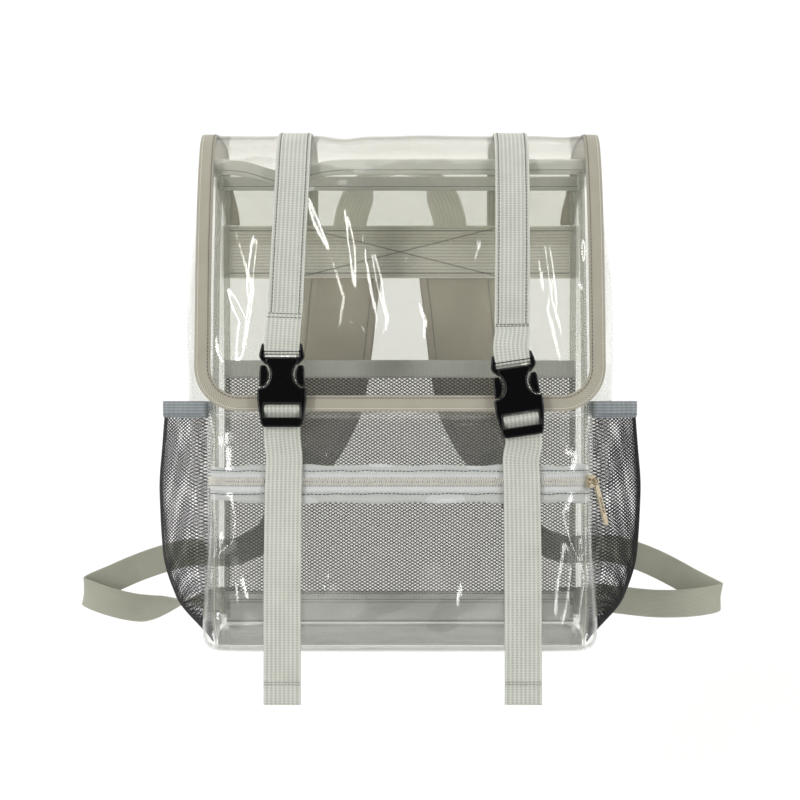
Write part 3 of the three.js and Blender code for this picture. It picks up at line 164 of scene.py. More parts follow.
film_panel = pvc_film("clear_pvc_film_panels", "fcfcfb", 5.0, 0.003, milky=0.014)
film_flap = pvc_film("clear_pvc_film_flap", "fcfcfa", 6.0, 0.0035, milky=0.012, level_painted_shade=0.5)
film_pocket = pvc_film("clear_pvc_film_pocket", "fbfbfa", 4.5, 0.0035, milky=0.03)
film_base = pvc_film("clear_pvc_film_base", "ecedea", 4.0, 0.003, milky=0.55, haze_tone="b4b6b2")
film_seam = pvc_film("clear_pvc_film_welded_seams", "e6e7e3", 2.0, 0.003, milky=0.2, haze_tone="d2d4ce")
print("made", film_panel.name, film_flap.name, film_pocket.name)

# %% [markdown]
# ## Woven materials
# Polypropylene webbing is woven with thick warp cords, so it shows fine ribs along its length, crossed
# by weft picks. Real cords are about 2 mm apart and picks 1.5 mm; they are drawn 3.4 mm and 2.1 mm
# apart, because finer ones wouldn't show in the render. The strap's UV map is in millimetres: u across
# and v along, so the pattern bends with the strap. Binding is a thin twill tape, whose weave runs
# slantwise, 1.7 mm from ridge to ridge. The elastic at the side pockets has ribs along its length.

# %% Woven materials
def uv_parts(tree):
    place = add(tree, "ShaderNodeUVMap", uv_map="UVMap").outputs[0]
    return add(tree, "ShaderNodeSeparateXYZ", {0: place}).outputs


def wave(tree, value, pitch_mm):
    """1 on a ridge and 0 in the groove between two."""
    turn = maths(tree, "COSINE", maths(tree, "MULTIPLY", value, 2 * math.pi / pitch_mm))
    return maths(tree, "MULTIPLY_ADD", turn, 0.5, 0.5)


def cloth(name, light, dark, pattern, depth_mm, rough=0.85, sheen=0.15):
    """Woven cloth: pattern(tree, u, v) gives the height, which also paints shade into the grooves."""
    made, tree = material(name)
    u, v = uv_parts(tree)[:2]
    height = pattern(tree, u, v)
    place = add(tree, "ShaderNodeTexCoord").outputs["Object"]
    worn = add(tree, "ShaderNodeTexNoise", {"Vector": place, "Scale": 60, "Detail": 4.0}).outputs[0]
    # The mix is partly random wear from noise and partly painted shade: the grooves of the weave get the dark
    # colour.
    shade = maths(tree, "MULTIPLY_ADD", worn, 0.35, maths(tree, "MULTIPLY", height, 0.75))
    mixed = add(tree, "ShaderNodeMix", {0: shade, 6: colour(dark), 7: colour(light)}, data_type="RGBA")
    bump = add(tree, "ShaderNodeBump", {"Height": height, "Strength": 0.7,
                                        "Distance": depth_mm / 1000}).outputs[0]
    shader = add(tree, "ShaderNodeBsdfPrincipled", {
        "Base Color": mixed.outputs[2], "Roughness": rough, "Sheen Weight": sheen,
        "Sheen Roughness": 0.5, "Normal": bump}).outputs[0]
    surface(tree, shader)
    return made


def webbing_weave(tree, u, v):
    cords = wave(tree, u, 3.4)
    picks = wave(tree, v, 2.1)
    return maths(tree, "MAXIMUM", maths(tree, "MULTIPLY", cords, 0.95), maths(tree, "MULTIPLY", picks, 0.8))


def ribbed(tree, main, fine, fine_share):
    return maths(tree, "MULTIPLY_ADD", fine, fine_share, maths(tree, "MULTIPLY", main, 1 - fine_share))


def band_weave(tree, u, v):
    return ribbed(tree, wave(tree, u, 2.9), wave(tree, v, 1.3), 0.2)


def twill(tree, u, v):
    slant = maths(tree, "MULTIPLY_ADD", u, 0.75, v)
    return wave(tree, slant, 1.7)


def fine_ribs(tree, u, v):
    return ribbed(tree, wave(tree, u, 1.15), wave(tree, v, 0.9), 0.25)


def plain_weave(tree, u, v):
    return maths(tree, "MULTIPLY", wave(tree, u, 0.8), wave(tree, v, 0.8))


def hem_ribs(tree, u, v):
    return ribbed(tree, wave(tree, v, 2.4), wave(tree, u, 1.0), 0.25)


pale_webbing = cloth("pale_webbing_polypropylene", "cdcfc5", "8b8d83", webbing_weave, 0.35)
# Painted light: the band and the haul loop are coloured lighter than the pale webbing, to make up for the shade of
# the film in front of them.
band_webbing = cloth("wide_webbing_polypropylene", "f4f2ec", "c4c2ba", band_weave, 0.35)
haul_weave = cloth("haul_webbing_polypropylene", "f0efe8", "cfcec6", webbing_weave, 0.35)
olive_webbing = cloth("olive_webbing_polypropylene", "b9b9a8", "87877a", fine_ribs, 0.35)
binding_twill = cloth("binding_tape_twill", "b5b0a2", "87826f", twill, 0.25)
foot_cloth = cloth("foot_strip_cloth", "d4d6d2", "b9bbb6", fine_ribs, 0.12)
rim_twill = cloth("rim_tape_fine_twill", "cbccc4", "abaca4", fine_ribs, 0.12)
hem_elastic = cloth("elastic_tape_ribbed", "9aa1a3", "5a6163", hem_ribs, 0.3)
# Painted light: the inner elastic is coloured lighter than its own colour, to make up for the shade of the film in
# front of it.
inner_hem_elastic = cloth("elastic_tape_inner_pocket", "c8cac5", "8e908b", fine_ribs, 0.3)
zip_tape_cloth = cloth("zip_tape_polyester", "e2e4e3", "c4c6c5", plain_weave, 0.15)
# Painted light: the pad cloth is coloured lighter than its own colour, to make up for the shade of the film in
# front of it.
pad_face = cloth("pad_cloth_polyester", "d8d1c4", "b8b1a3", plain_weave, 0.15)
pad_trim = cloth("pad_binding_polyester", "b5b1a5", "8e8a7e", twill, 0.2)
print("woven materials:", [m.name for m in (pale_webbing, band_webbing, olive_webbing, binding_twill)])

# %% [markdown]
# ## Threads and hard pieces
# Sewing thread and net yarn are twisted polyester with a soft sheen. The buckles and ladder locks are
# moulded acetal, black and shiny with a faint orange-peel surface. The slider and pull are zinc,
# plated in pale gold. The coil is nylon wire.

# %% Thread, acetal, plated and nylon materials
def plain(name, base, rough, metallic=0.0, ripple_mm=0.0, ripple_scale=900, sheen=0.0, specular=0.5):
    made, tree = material(name)
    place = add(tree, "ShaderNodeTexCoord").outputs["Object"]
    grain = add(tree, "ShaderNodeTexNoise", {"Vector": place, "Scale": ripple_scale,
                                             "Detail": 3.0}).outputs[0]
    spread = maths(tree, "MULTIPLY_ADD", grain, 0.12, rough - 0.06)
    tone = add(tree, "ShaderNodeMix", {0: maths(tree, "MULTIPLY", grain, 0.22), 6: colour(base),
                                       7: [c * 0.55 for c in colour(base)[:3]] + [1]}, data_type="RGBA")
    bump = add(tree, "ShaderNodeBump", {"Height": grain, "Strength": 0.6,
                                        "Distance": ripple_mm / 1000}).outputs[0]
    shader = add(tree, "ShaderNodeBsdfPrincipled", {
        "Base Color": tone.outputs[2], "Roughness": spread, "Metallic": metallic,
        "Sheen Weight": sheen, "Specular IOR Level": specular, "Normal": bump}).outputs[0]
    surface(tree, shader)
    return made


net_yarn = plain("net_yarn_polyester", "232425", 0.7)
thread_grey = plain("thread_grey_polyester", "8f8f85", 0.6, sheen=0.2)
thread_dark = plain("thread_dark_polyester", "55564f", 0.6, sheen=0.2)
thread_pale = plain("thread_pale_polyester", "d6d8cf", 0.6, sheen=0.2)
thread_teal = plain("thread_teal_polyester", "4f5c60", 0.6, sheen=0.2)
acetal = plain("acetal_black_moulded", "020203", 0.2, ripple_mm=0.02, ripple_scale=500, specular=0.35)
plated = plain("zinc_plated_pale_gold", "d9cbb0", 0.26, metallic=1.0, ripple_mm=0.02, ripple_scale=700)
nylon = plain("zip_coil_nylon", "efece2", 0.42, ripple_mm=0.02)
print("hard and thread materials made")

# %% [markdown]
# ## Stage and light
# The bag hangs in front of a seamless pale sweep, the usual ground for product photographs. A large
# soft light from above fills the shadows, and lights behind the bag keep the sweep white. Polished
# film only shows what it mirrors: two tall narrow lights, about 35 degrees to each side, turn every
# crease into a bright streak, and the room is dark behind the camera, so that flat film stays clear
# and black plastic stays black.

# %% Stage and lights
scene.view_settings.view_transform = "Standard"
scene.cycles.transparent_max_bounces = 64


def sweep(width, low, deep, high, bend):
    """A floor that curves up into a wall behind the object."""
    profile = [(-2.2, low), (deep - bend, low)]
    profile += [(deep - bend + bend * math.sin(a), low + bend * (1 - math.cos(a)))
                for a in np.linspace(0.1, math.pi / 2, 12)]
    profile.append((deep, high))
    points = [(x, y, z) for y, z in profile for x in (-width / 2, width / 2)]
    faces = [(2 * i, 2 * i + 1, 2 * i + 3, 2 * i + 2) for i in range(len(profile) - 1)]
    mesh = bpy.data.meshes.new("sweep")
    mesh.from_pydata(points, [], faces)
    mesh.polygons.foreach_set("use_smooth", [True] * len(faces))
    made = bpy.data.objects.new("sweep", mesh)
    scene.collection.objects.link(made)
    return made


backdrop = sweep(7.0, -0.75, 1.6, 3.0, 0.9)
paper, paper_tree = material("paper_sweep")
paper_place = add(paper_tree, "ShaderNodeTexCoord").outputs["Object"]
paper_grain = add(paper_tree, "ShaderNodeTexNoise", {"Vector": paper_place, "Scale": 250,
                                                     "Detail": 3.0}).outputs[0]
paper_tone = add(paper_tree, "ShaderNodeMix", {0: paper_grain, 6: colour("f0f0ef"), 7: colour("f5f5f4")},
                 data_type="RGBA").outputs[2]
paper_shader = add(paper_tree, "ShaderNodeBsdfPrincipled", {"Base Color": paper_tone, "Roughness": 0.9})
surface(paper_tree, paper_shader.outputs[0])
backdrop.data.materials.append(paper)


def light(name, place, aim, size, power):
    data = bpy.data.lights.new(name, "AREA")
    data.shape = "RECTANGLE"
    data.size, data.size_y = size
    data.energy = power
    made = bpy.data.objects.new(name, data)
    made.location = place
    turn = np.array(aim, float) - np.array(place, float)
    yaw = math.atan2(turn[0], turn[1])
    pitch = math.atan2(turn[2], math.hypot(turn[0], turn[1]))
    made.rotation_euler = (math.pi / 2 + pitch, 0, -yaw)
    scene.collection.objects.link(made)


light("key_left", (-1.15, -1.8, 0.3), (0, 0, -0.25), (0.34, 1.6), 20)
light("fill_right", (1.3, -1.75, 0.1), (0, 0, -0.25), (0.3, 1.6), 13)
light("soft_top", (0.1, -0.5, 1.7), (0, 0, -0.2), (1.8, 1.4), 17)
light("wall_left", (-1.9, 0.35, 0.4), (-0.7, 1.6, -0.2), (0.8, 1.6), 13)
light("wall_right", (1.9, 0.35, 0.4), (0.7, 1.6, -0.2), (0.8, 1.6), 13)
light("floor_glow", (0, 0.5, 1.9), (0, 0.9, -0.75), (2.4, 0.8), 8)
world = bpy.data.worlds.new("studio")
world.use_nodes = True
room = world.node_tree
room_place = add(room, "ShaderNodeTexCoord").outputs["Generated"]
room_way = add(room, "ShaderNodeSeparateXYZ", {0: room_place}).outputs[1]
room_glow = add(room, "ShaderNodeMapRange", {"Value": room_way, "From Min": -0.85, "From Max": 0.25,
                                             "To Min": 0.1, "To Max": 0.7}).outputs[0]
room.links.new(room_glow, room.nodes["Background"].inputs["Strength"])
room.nodes["Background"].inputs["Color"].default_value = colour("f6f6f6")
scene.world = world

# %% [markdown]
# ## Shape rules
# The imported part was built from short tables: how wide, deep and full the bag is at each height. The
# same tables are read here with a finer step. A curve through a table's rows must not overshoot them,
# so each row's slope is eased between its neighbours. All the shaping is in millimetres, and only
# the last step turns it to metres, with the origin under the crown of the haul loop.

# %% Table curves
crown = np.array((0.0, 78.934, 414.25))


def placed(points_mm):
    return (np.asarray(points_mm, float) - crown) * 0.001


def ease(low, high, value):
    share = np.clip((np.asarray(value, float) - low) / (high - low), 0, 1)
    return share * share * (3 - 2 * share)


def table_curve(knots, values):
    """A smooth curve through a table that never overshoots a row."""
    knots, values = np.array(knots, float), np.array(values, float)
    slopes = np.diff(values) / np.diff(knots)
    inner = [0 if a * b <= 0 else 2 * a * b / (a + b) for a, b in zip(slopes, slopes[1:])]
    slope = np.array([slopes[0], *inner, slopes[-1]])
    place = np.linspace(knots[0], knots[-1], 900)
    i = np.clip(np.searchsorted(knots, place, side="right") - 1, 0, len(knots) - 2)
    span, rise = knots[i + 1] - knots[i], values[i + 1] - values[i]
    t = (place - knots[i]) / span
    bend = (slope[i] * (1 - t) - slope[i + 1] * t) * span - rise * (1 - 2 * t)
    shaped = values[i] + rise * t + t * (1 - t) * bend
    return lambda where: np.interp(where, place, shaped)


def fold_depth(folds, across, up, size):
    """Broad soft folds: each is (across, up, length, width, depth, lean) in shares of the panel."""
    depth = 0.0
    for at, high, length, width, deep, lean in folds:
        rise = (up - high) / length
        off = (across - at - lean * rise * length) / width
        soft = np.cos(np.clip(rise, -1, 1) * math.pi / 2) ** 2
        depth = depth + deep * size * np.exp(-off * off) * soft
    return depth


print("a share of 0.5 between rows 0, 1, 0 reads", round(float(table_curve([0, 0.5, 1], [0, 1, 0])(0.5)), 3))

# %% Body of the bag
RIM, FRONT_WIDTH, BACK_WIDTH, DEPTH, BULGE = 406.0, 311.0, 324.0, 122.0, 24.0
heights = [0, 0.08, 0.25, 0.5, 0.7, 0.86, 1]
width_share = table_curve(heights, [0.985, 1, 1, 1, 1, 1, 1])
front_share = table_curve(heights, [-0.49, -0.5, -0.505, -0.5, -0.455, -0.385, -0.33])
back_share = table_curve(heights, [0.49, 0.5, 0.51, 0.51, 0.5, 0.475, 0.45])
bulge_share = table_curve(heights, [0.12, 0.42, 0.74, 1, 0.92, 0.72, 0.15])
front_folds = [(-0.55, 0.72, 0.3, 0.05, 0.05, 0.25), (0.66, 0.7, 0.28, 0.045, 0.045, -0.3)]
pocket_folds = [(-0.82, 0.28, 0.3, 0.05, 0.07, -0.25), (0.84, 0.3, 0.3, 0.05, 0.07, 0.25),
                (0.05, 0.3, 0.45, 0.16, -0.04, 0.1)]
flap_folds = [(-0.27, 0.55, 0.35, 0.08, 0.022, -0.2), (0.78, 0.45, 0.3, 0.09, 0.02, 0.25),
              (-0.8, 0.3, 0.3, 0.1, 0.02, 0.15)]


def at_height(z):
    share = np.minimum(z, RIM - 12) / RIM
    return {"front": FRONT_WIDTH / 2 * width_share(share), "back": BACK_WIDTH / 2 * width_share(share),
            "y_front": DEPTH * front_share(share), "y_back": DEPTH * back_share(share),
            "bulge": BULGE * bulge_share(share)}


def front_rim(x):
    return RIM - 10 * np.exp(-(((x / 95) + 1.03) / 0.27) ** 2)


def front_face(x, z):
    body = at_height(z)
    across = x / body["front"]
    press = ease(195, 225, z) * fold_depth(front_folds, across, z / RIM, DEPTH)
    return body["y_front"] + press * (1 - np.abs(across) ** 6)


def gusset_face(side, v, z):
    body = at_height(z)
    y = body["y_front"] + 1.3 + (body["y_back"] - body["y_front"] - 2.6) * v
    flat = body["front"] + (body["back"] - body["front"]) * v
    crease = 0.14 * np.sin(3 * math.pi * v) * ease(0.35, 0.75, z / RIM)
    x = flat + body["bulge"] * (np.sin(math.pi * v) - crease)
    return np.stack(np.broadcast_arrays(side * x, y, z), -1)


print("half width and front at 200 mm up:", {k: round(float(v), 1) for k, v in at_height(200).items()})

# %% [markdown]
# ## Mesh helpers
# Film and tape are thin closed shells: an outer grid of points, an inner one behind it, and a rim
# between them. Webbing is a flat section swept along a line of stations. Both write a UV map in
# millimetres, which is what the weaves are drawn in.

# %% Pieces from points and grids
def piece(name, points_mm, faces, finish, slot, uv=None, body="bag", replaces=(), smooth=True):
    points = placed(points_mm)
    mesh = bpy.data.meshes.new(name)
    mesh.from_pydata(points.tolist(), [], [tuple(int(i) for i in f) for f in faces])
    mesh.materials.append(finish)
    mesh.polygons.foreach_set("use_smooth", [smooth] * len(mesh.polygons))
    if uv is not None:
        loops = np.empty(len(mesh.loops), int)
        mesh.loops.foreach_get("vertex_index", loops)
        mesh.uv_layers.new(name="UVMap").data.foreach_set("uv", np.asarray(uv, float)[loops].ravel())
    made = bpy.data.objects.new(name, mesh)
    scene.collection.objects.link(made)
    return dressed(made, body, replaces)


def dressed(made, body="bag", replaces=()):
    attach(made, body)
    if replaces:
        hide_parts(*replaces)
    return made


def run_of(line):
    """How far along a line of points each one is."""
    return np.concatenate([[0], np.cumsum(np.linalg.norm(np.diff(line, axis=0), axis=1))])


def unit(vectors):
    return vectors / np.linalg.norm(vectors, axis=1, keepdims=True)


def quads(ids):
    return np.stack([ids[:-1, :-1], ids[:-1, 1:], ids[1:, 1:], ids[1:, :-1]], -1).reshape(-1, 4)


def normals_of(grid):
    normal = np.cross(np.gradient(grid, axis=1), np.gradient(grid, axis=0))
    return normal / np.linalg.norm(normal, axis=2, keepdims=True).clip(1e-9)


def lengths(grid, axis):
    step = np.linalg.norm(np.diff(grid, axis=axis), axis=2)
    zero = np.zeros_like(np.take(step, [0], axis=axis))
    return np.concatenate([zero, np.cumsum(step, axis=axis)], axis=axis)


def closed_out(points, faces):
    """Turns all the faces outwards, if the body's volume comes out negative."""
    volume = 0.0
    for f in (faces[:, :3], faces[:, [0, 2, 3]]):
        a, b, c = (points[f[:, k]] for k in range(3))
        volume += float(np.einsum("ij,ij->i", a, np.cross(b, c)).sum())
    return faces if volume > 0 else faces[:, ::-1]


def shell(name, outer, inner, finish, slot, **more):
    rows, columns = outer.shape[:2]
    ids = np.arange(rows * columns).reshape(rows, columns)
    under = ids + rows * columns
    ring = np.concatenate([ids[0, :-1], ids[:-1, -1], ids[-1, :0:-1], ids[:0:-1, 0]])
    after = np.roll(ring, -1)
    rim = np.stack([after, ring, ring + rows * columns, after + rows * columns], -1)
    faces = np.concatenate([quads(ids), quads(under)[:, ::-1], rim])
    points = np.concatenate([outer.reshape(-1, 3), inner.reshape(-1, 3)])
    u, v = lengths(outer, 1), lengths(outer, 0)
    uv = np.stack([u - u[:, -1:] / 2, v], -1).reshape(-1, 2)
    return piece(name, points, closed_out(points, faces), finish, slot, uv=np.concatenate([uv, uv]), **more)


def film(name, outer, finish, thick=0.8, side=1, **more):
    return shell(name, outer, outer - side * thick * normals_of(outer), finish, "clear_pvc", **more)


print("shell and film helpers ready")


# %% Swept ribbons
def resampled(stations, spacing):
    """Smooth curve through the stations, read every so many millimetres."""
    rows = np.array([tuple(s) + ((1, 0, 0) if len(s) == 3 else ()) for s in stations], float)
    step = np.linalg.norm(np.diff(rows[:, :3], axis=0), axis=1)
    knots = np.concatenate([[0], np.cumsum(step)])
    slopes = np.diff(rows, axis=0) / step[:, None]
    tangents = np.empty_like(rows)
    tangents[0], tangents[-1] = slopes[0], slopes[-1]
    before, after = step[:-1, None], step[1:, None]
    tangents[1:-1] = (slopes[:-1] * after + slopes[1:] * before) / (before + after)
    place = np.linspace(0, knots[-1], max(int(knots[-1] / spacing), 2) + 1)
    i = np.clip(np.searchsorted(knots, place, side="right") - 1, 0, len(step) - 1)
    span = step[i][:, None]
    t = ((place - knots[i]) / step[i])[:, None]
    return (rows[i] * (2 * t ** 3 - 3 * t ** 2 + 1) + tangents[i] * span * (t ** 3 - 2 * t ** 2 + t)
            + rows[i + 1] * (3 * t ** 2 - 2 * t ** 3) + tangents[i + 1] * span * (t ** 3 - t ** 2))


def strap_frames(stations, spacing=2.5):
    line = resampled(stations, spacing)
    at, across = line[:, :3], line[:, 3:6]
    run = unit(np.gradient(at, axis=0))
    across = unit(across - run * np.sum(across * run, axis=1, keepdims=True))
    return at, across, np.cross(run, across)


def ribbon(name, stations, width, thick, finish, slot, spacing=2.5, **more):
    at, across, face = strap_frames(stations, spacing)
    half, t = width / 2, thick / 2
    upper = [(-half, 0), (-half + 0.2, t * 0.7), (-half + 0.7, t), (-half * 0.6, t), (-half * 0.2, t),
             (half * 0.2, t), (half * 0.6, t), (half - 0.7, t), (half - 0.2, t * 0.7), (half, 0)]
    section = np.array(upper + [(x, -y) for x, y in upper[-2:0:-1]])
    rings = (at[:, None] + across[:, None] * section[None, :, :1] + face[:, None] * section[None, :, 1:])
    count, around = len(at), len(section)
    ids = np.arange(count * around).reshape(count, around)
    faces = quads(np.concatenate([ids, ids[:, :1]], axis=1))
    points = rings.reshape(-1, 3)
    uv = np.stack(np.broadcast_arrays(section[None, :, 0], run_of(at)[:, None]), -1).reshape(-1, 2)
    faces = closed_out(points, faces)
    ends = [tuple(ids[0]), tuple(ids[-1][::-1])]
    flip = tuple(faces[0]) != tuple(quads(ids[:2, :2])[0])
    ends = [e[::-1] if not flip else e for e in ends]
    return piece(name, points, [*faces.tolist(), *ends], finish, slot, uv=uv, **more)


print("a 10 mm step reads", len(resampled([(0, 0, 0), (0, 0, 50), (0, 10, 100)], 10)), "points")

# %% [markdown]
# ## Clear panels
# The compartment is four sheets of film and a base. Film is cut flat, and it buckles a little where
# two curved edges meet, so on top of the broad folds each panel gets a few long shallow waves. They
# are what bends the straight strip lights into the wandering highlights of soft plastic.

# %% Film panels of the compartment
rng = np.random.default_rng(7)


def waves(across, up, amount, count=7, long=2.0, short=9.0):
    """Sum of a few slanting waves with fixed random phases; fades out at a panel's edges."""
    total = 0.0
    for _ in range(count):
        slant = rng.uniform(-1.0, 1.0)
        pitch = rng.uniform(long, short)
        phase = rng.uniform(0, 2 * math.pi)
        total = total + np.sin(2 * math.pi * (pitch * across / 2 + slant * 2 * up) + phase) / pitch
    calm = (1 - np.abs(across) ** 8) * np.clip(np.minimum(up, 1 - up) * 12, 0, 1)
    return amount * total * calm * 2


def spaced(count, low=0.0, high=1.0):
    return np.linspace(low, high, count)


def creased(x, z, table, tall=1.5, wide=3.2):
    """Height of sharp little ridges that run through each row's points (x, z), highest half way."""
    height = np.zeros(np.shape(x))
    for row in table:
        row = np.array(row, float)
        steps = np.linalg.norm(np.diff(row, axis=0), axis=1)
        total, gone = steps.sum(), 0.0
        best, place = np.full(np.shape(x), 1e9), np.zeros(np.shape(x))
        for (ax, az), (bx, bz), step in zip(row, row[1:], steps):
            t = np.clip(((x - ax) * (bx - ax) + (z - az) * (bz - az)) / step ** 2, 0, 1)
            off = np.hypot(x - ax - t * (bx - ax), z - az - t * (bz - az))
            place = np.where(off < best, (gone + t * step) / total, place)
            best, gone = np.minimum(off, best), gone + step
        height = np.maximum(height, tall * np.exp(-(best / wide) ** 2) * np.sin(math.pi * place) ** 0.5)
    return height


def ring(x, z, half_wide, half_high):
    return [(x + half_wide * math.cos(a), z + half_high * math.sin(a)) for a in np.linspace(0.6, 6.6, 13)]


broad_flap_creases = [
    [(-75.5, 380), (-64.7, 351), (-55, 330), (-46, 318)],
    [(-49.8, 386), (-40.5, 355), (-35.5, 330), (-33, 300), (-28, 281)],
    [(-39.7, 376), (-29.7, 341), (-19.6, 291), (-14.5, 270), (-24.7, 231)],
    [(-148, 311.8), (-134.8, 291), (-123, 266), (-127, 240), (-131.5, 226)],
    [(109.2, 362.5), (116.8, 333), (122.5, 282.4), (133.1, 229.3)]]
flap_creases = [
    [(-46.6, 282.4), (-34.6, 264.4), (-26.3, 247.7)], ring(-136.8, 251.4, 10.2, 18.8),
    [(-116.4, 339.6), (-122.5, 272.6)], [(115, 304.5), (123.3, 241)],
    [(118.4, 375.5), (120, 354.3), (135.6, 335.5)], [(147.5, 339.6), (147.5, 312.6)],
    [(139.7, 306), (149.2, 289.4)], [(129.9, 282), (134, 275), (138, 282), (144.6, 275)],
    [(12, 300), (24, 268), (20, 240)], [(58, 372), (62, 330), (52, 300)]]
pocket_creases = [
    [(-135.8, 128), (-132.2, 109), (-133, 92), (-151.3, 76.2), (-154.7, 65.8)],
    [(-155.8, 119.3), (-153.4, 98.5)], [(-149.4, 116), (-146, 80), (-144.6, 46.6)],
    [(-153, 34.6), (-138.2, 19.9)], [(128.3, 106.5), (143, 95.3)], [(129, 116), (140, 84), (151, 50)],
    [(150, 108), (146, 70), (156, 44)], [(-60, 110), (-52, 70), (-66, 30)], [(40, 100), (52, 60), (48, 28)],
    [(-78.3, 173.2), (-71.5, 162.9)], [(-59.4, 164.5), (-53.4, 155)], [(-153, 181.6), (-149.4, 162.9)],
    [(30, 176), (44, 160)], [(140, 180), (132, 160)]]
panel_creases = [
    [(-140, 360), (-120, 300), (-128, 240)], [(-60, 340), (-44, 290), (-50, 250)],
    [(70, 350), (84, 300), (78, 240)], [(130, 330), (120, 280), (134, 220)], [(0, 360), (10, 310), (-4, 270)]]


def front_grid():
    high, u = np.meshgrid(spaced(200, 0, RIM), spaced(150, -1, 1), indexing="ij")
    x = u * at_height(high)["front"]
    y = front_face(x, high) + waves(u, high / RIM, 0.6) - creased(x, high, panel_creases)
    return np.stack([x, y, high * front_rim(x) / RIM], -1)


def back_grid():
    z, u = np.meshgrid(spaced(84, 0, RIM), spaced(64, 1, -1), indexing="ij")
    body = at_height(z)
    return np.stack([u * body["back"], body["y_back"] + waves(u, z / RIM, 0.5), z], -1)


def gusset_grid(side):
    z, v = np.meshgrid(spaced(84, 0, RIM), spaced(30), indexing="ij")
    grid = gusset_face(side, v, z)
    grid[..., 0] += side * waves(2 * v - 1, z / RIM, 0.9, long=1.0, short=4.0)
    return grid if side > 0 else grid[:, ::-1]


front_film = film("front_film", front_grid(), film_panel, replaces=["front_panel"])
film("back_film", back_grid(), film_panel, replaces=["back_panel"])
for side, label in ((1, "right"), (-1, "left")):
    film(f"{label}_side_film", gusset_grid(side), film_panel, replaces=[f"{label}_gusset"])


def base_grid():
    u, v = np.meshgrid(spaced(40, -1, 1), spaced(24), indexing="ij")
    body = at_height(np.zeros_like(u))
    half = gusset_face(1, v, np.zeros_like(v))[..., 0] - 1.6 * 1.3
    y = body["y_front"] + 1.3 + (body["y_back"] - body["y_front"] - 2.6) * v
    return np.stack([u * half, y, 0.2 + 0.8 * np.sin(math.pi * v)], -1)


film("base_film", base_grid(), film_base, replaces=["base_panel"])
print("five panels of film; front is", len(front_film.data.polygons), "faces")

# %% [markdown]
# ## Flap
# One sheet of film starts under the wide band at the back, rises over the mouth and hangs down the
# front. Its side view is a list of points 6.4 mm apart. The sheet is narrower at the band, and its
# lower corners are round.

# %% Flap of film
flap_side = np.array([
    (58.5, 345), (58, 351.4), (57.9, 357.8), (59.1, 364), (59.8, 370.5), (60.3, 376.9), (60.7, 383.3),
    (61, 389.7), (61.1, 396.1), (60.8, 402.5), (60.3, 408.9), (58.8, 415.2), (55.5, 420.6), (50.7, 424.8),
    (44.8, 427.4), (38.5, 428.4), (32.1, 428.7), (25.6, 428.8), (19.2, 428.9), (12.8, 429), (6.4, 428.9),
    (0, 428.8), (-6.4, 428.6), (-12.9, 428.4), (-19.3, 428.5), (-25.7, 428.3), (-31.9, 426.8),
    (-37.5, 423.7), (-42.3, 419.4), (-46.1, 414.3), (-49.1, 408.6), (-51.7, 402.8), (-54.1, 396.8),
    (-56.2, 390.7), (-58.1, 384.6), (-59.8, 378.4), (-61.5, 372.2), (-63.1, 366), (-64.6, 359.8),
    (-66, 353.5), (-67.3, 347.2), (-68.5, 340.9), (-69.6, 334.6), (-70.6, 328.3), (-71.5, 321.9),
    (-72.3, 315.5), (-73, 309.1), (-73.7, 302.8), (-74.3, 296.4), (-75, 290), (-75.6, 283.6),
    (-76.1, 277.2), (-76.6, 270.8), (-77.1, 264.4), (-77.6, 258), (-78, 251.6), (-78.5, 245.2),
    (-79, 238.8), (-79.5, 232.4), (-80, 226), (-80.4, 219.6), (-80.9, 213.2), (-81.4, 206.8),
    (-81.9, 200.4), (-82.3, 194)])
FLAP_LENGTH, SHEET_LENGTH, FLAP_WIDTH, FLAP_CORNER = 410.79, 409.49, 337.0, 36.0
side_fine = resampled([(0, y, z) for y, z in flap_side], 1.0)[:, 1:3]
side_place = np.linspace(0, FLAP_LENGTH, len(side_fine))
side_run = unit(np.gradient(side_fine, axis=0))


def on_flap(x, s, n):
    """A point of the flap: x across, s along its side view, n out from its inner face."""
    s = np.asarray(s, float)
    held = np.clip(s, 0, FLAP_LENGTH)
    y, z, ry, rz = (np.interp(held, side_place, values) for values in (*side_fine.T, *side_run.T))
    over = s - held
    inside = ease(0, 13, FLAP_WIDTH / 2 - 13 - np.abs(x))
    out = n - inside * fold_depth(flap_folds, 2 * x / FLAP_WIDTH, 1 - held / FLAP_LENGTH, DEPTH)
    return np.stack(np.broadcast_arrays(x, y + rz * out + ry * over, z - ry * out + rz * over), -1)


def flap_half(s):
    full = FLAP_WIDTH / 2 - 1.3
    wide = full - 9 * (1 - ease(18, 68, s))
    into = np.clip(s - (SHEET_LENGTH - FLAP_CORNER), 0, FLAP_CORNER)
    corner = full - FLAP_CORNER + np.sqrt(FLAP_CORNER ** 2 - into ** 2)
    return np.where(s <= SHEET_LENGTH - FLAP_CORNER, wide, corner)


FLAP_COLUMNS = 160


def flap_rows():
    turn = np.radians(spaced(13, 0, 90))[1:]
    return np.concatenate([spaced(180, 0, SHEET_LENGTH - FLAP_CORNER),
                           SHEET_LENGTH - FLAP_CORNER + FLAP_CORNER * np.sin(turn)])


def flap_grid(n):
    s, u = np.meshgrid(flap_rows(), spaced(FLAP_COLUMNS, -1, 1), indexing="ij")
    return on_flap(u * flap_half(s), s, n)


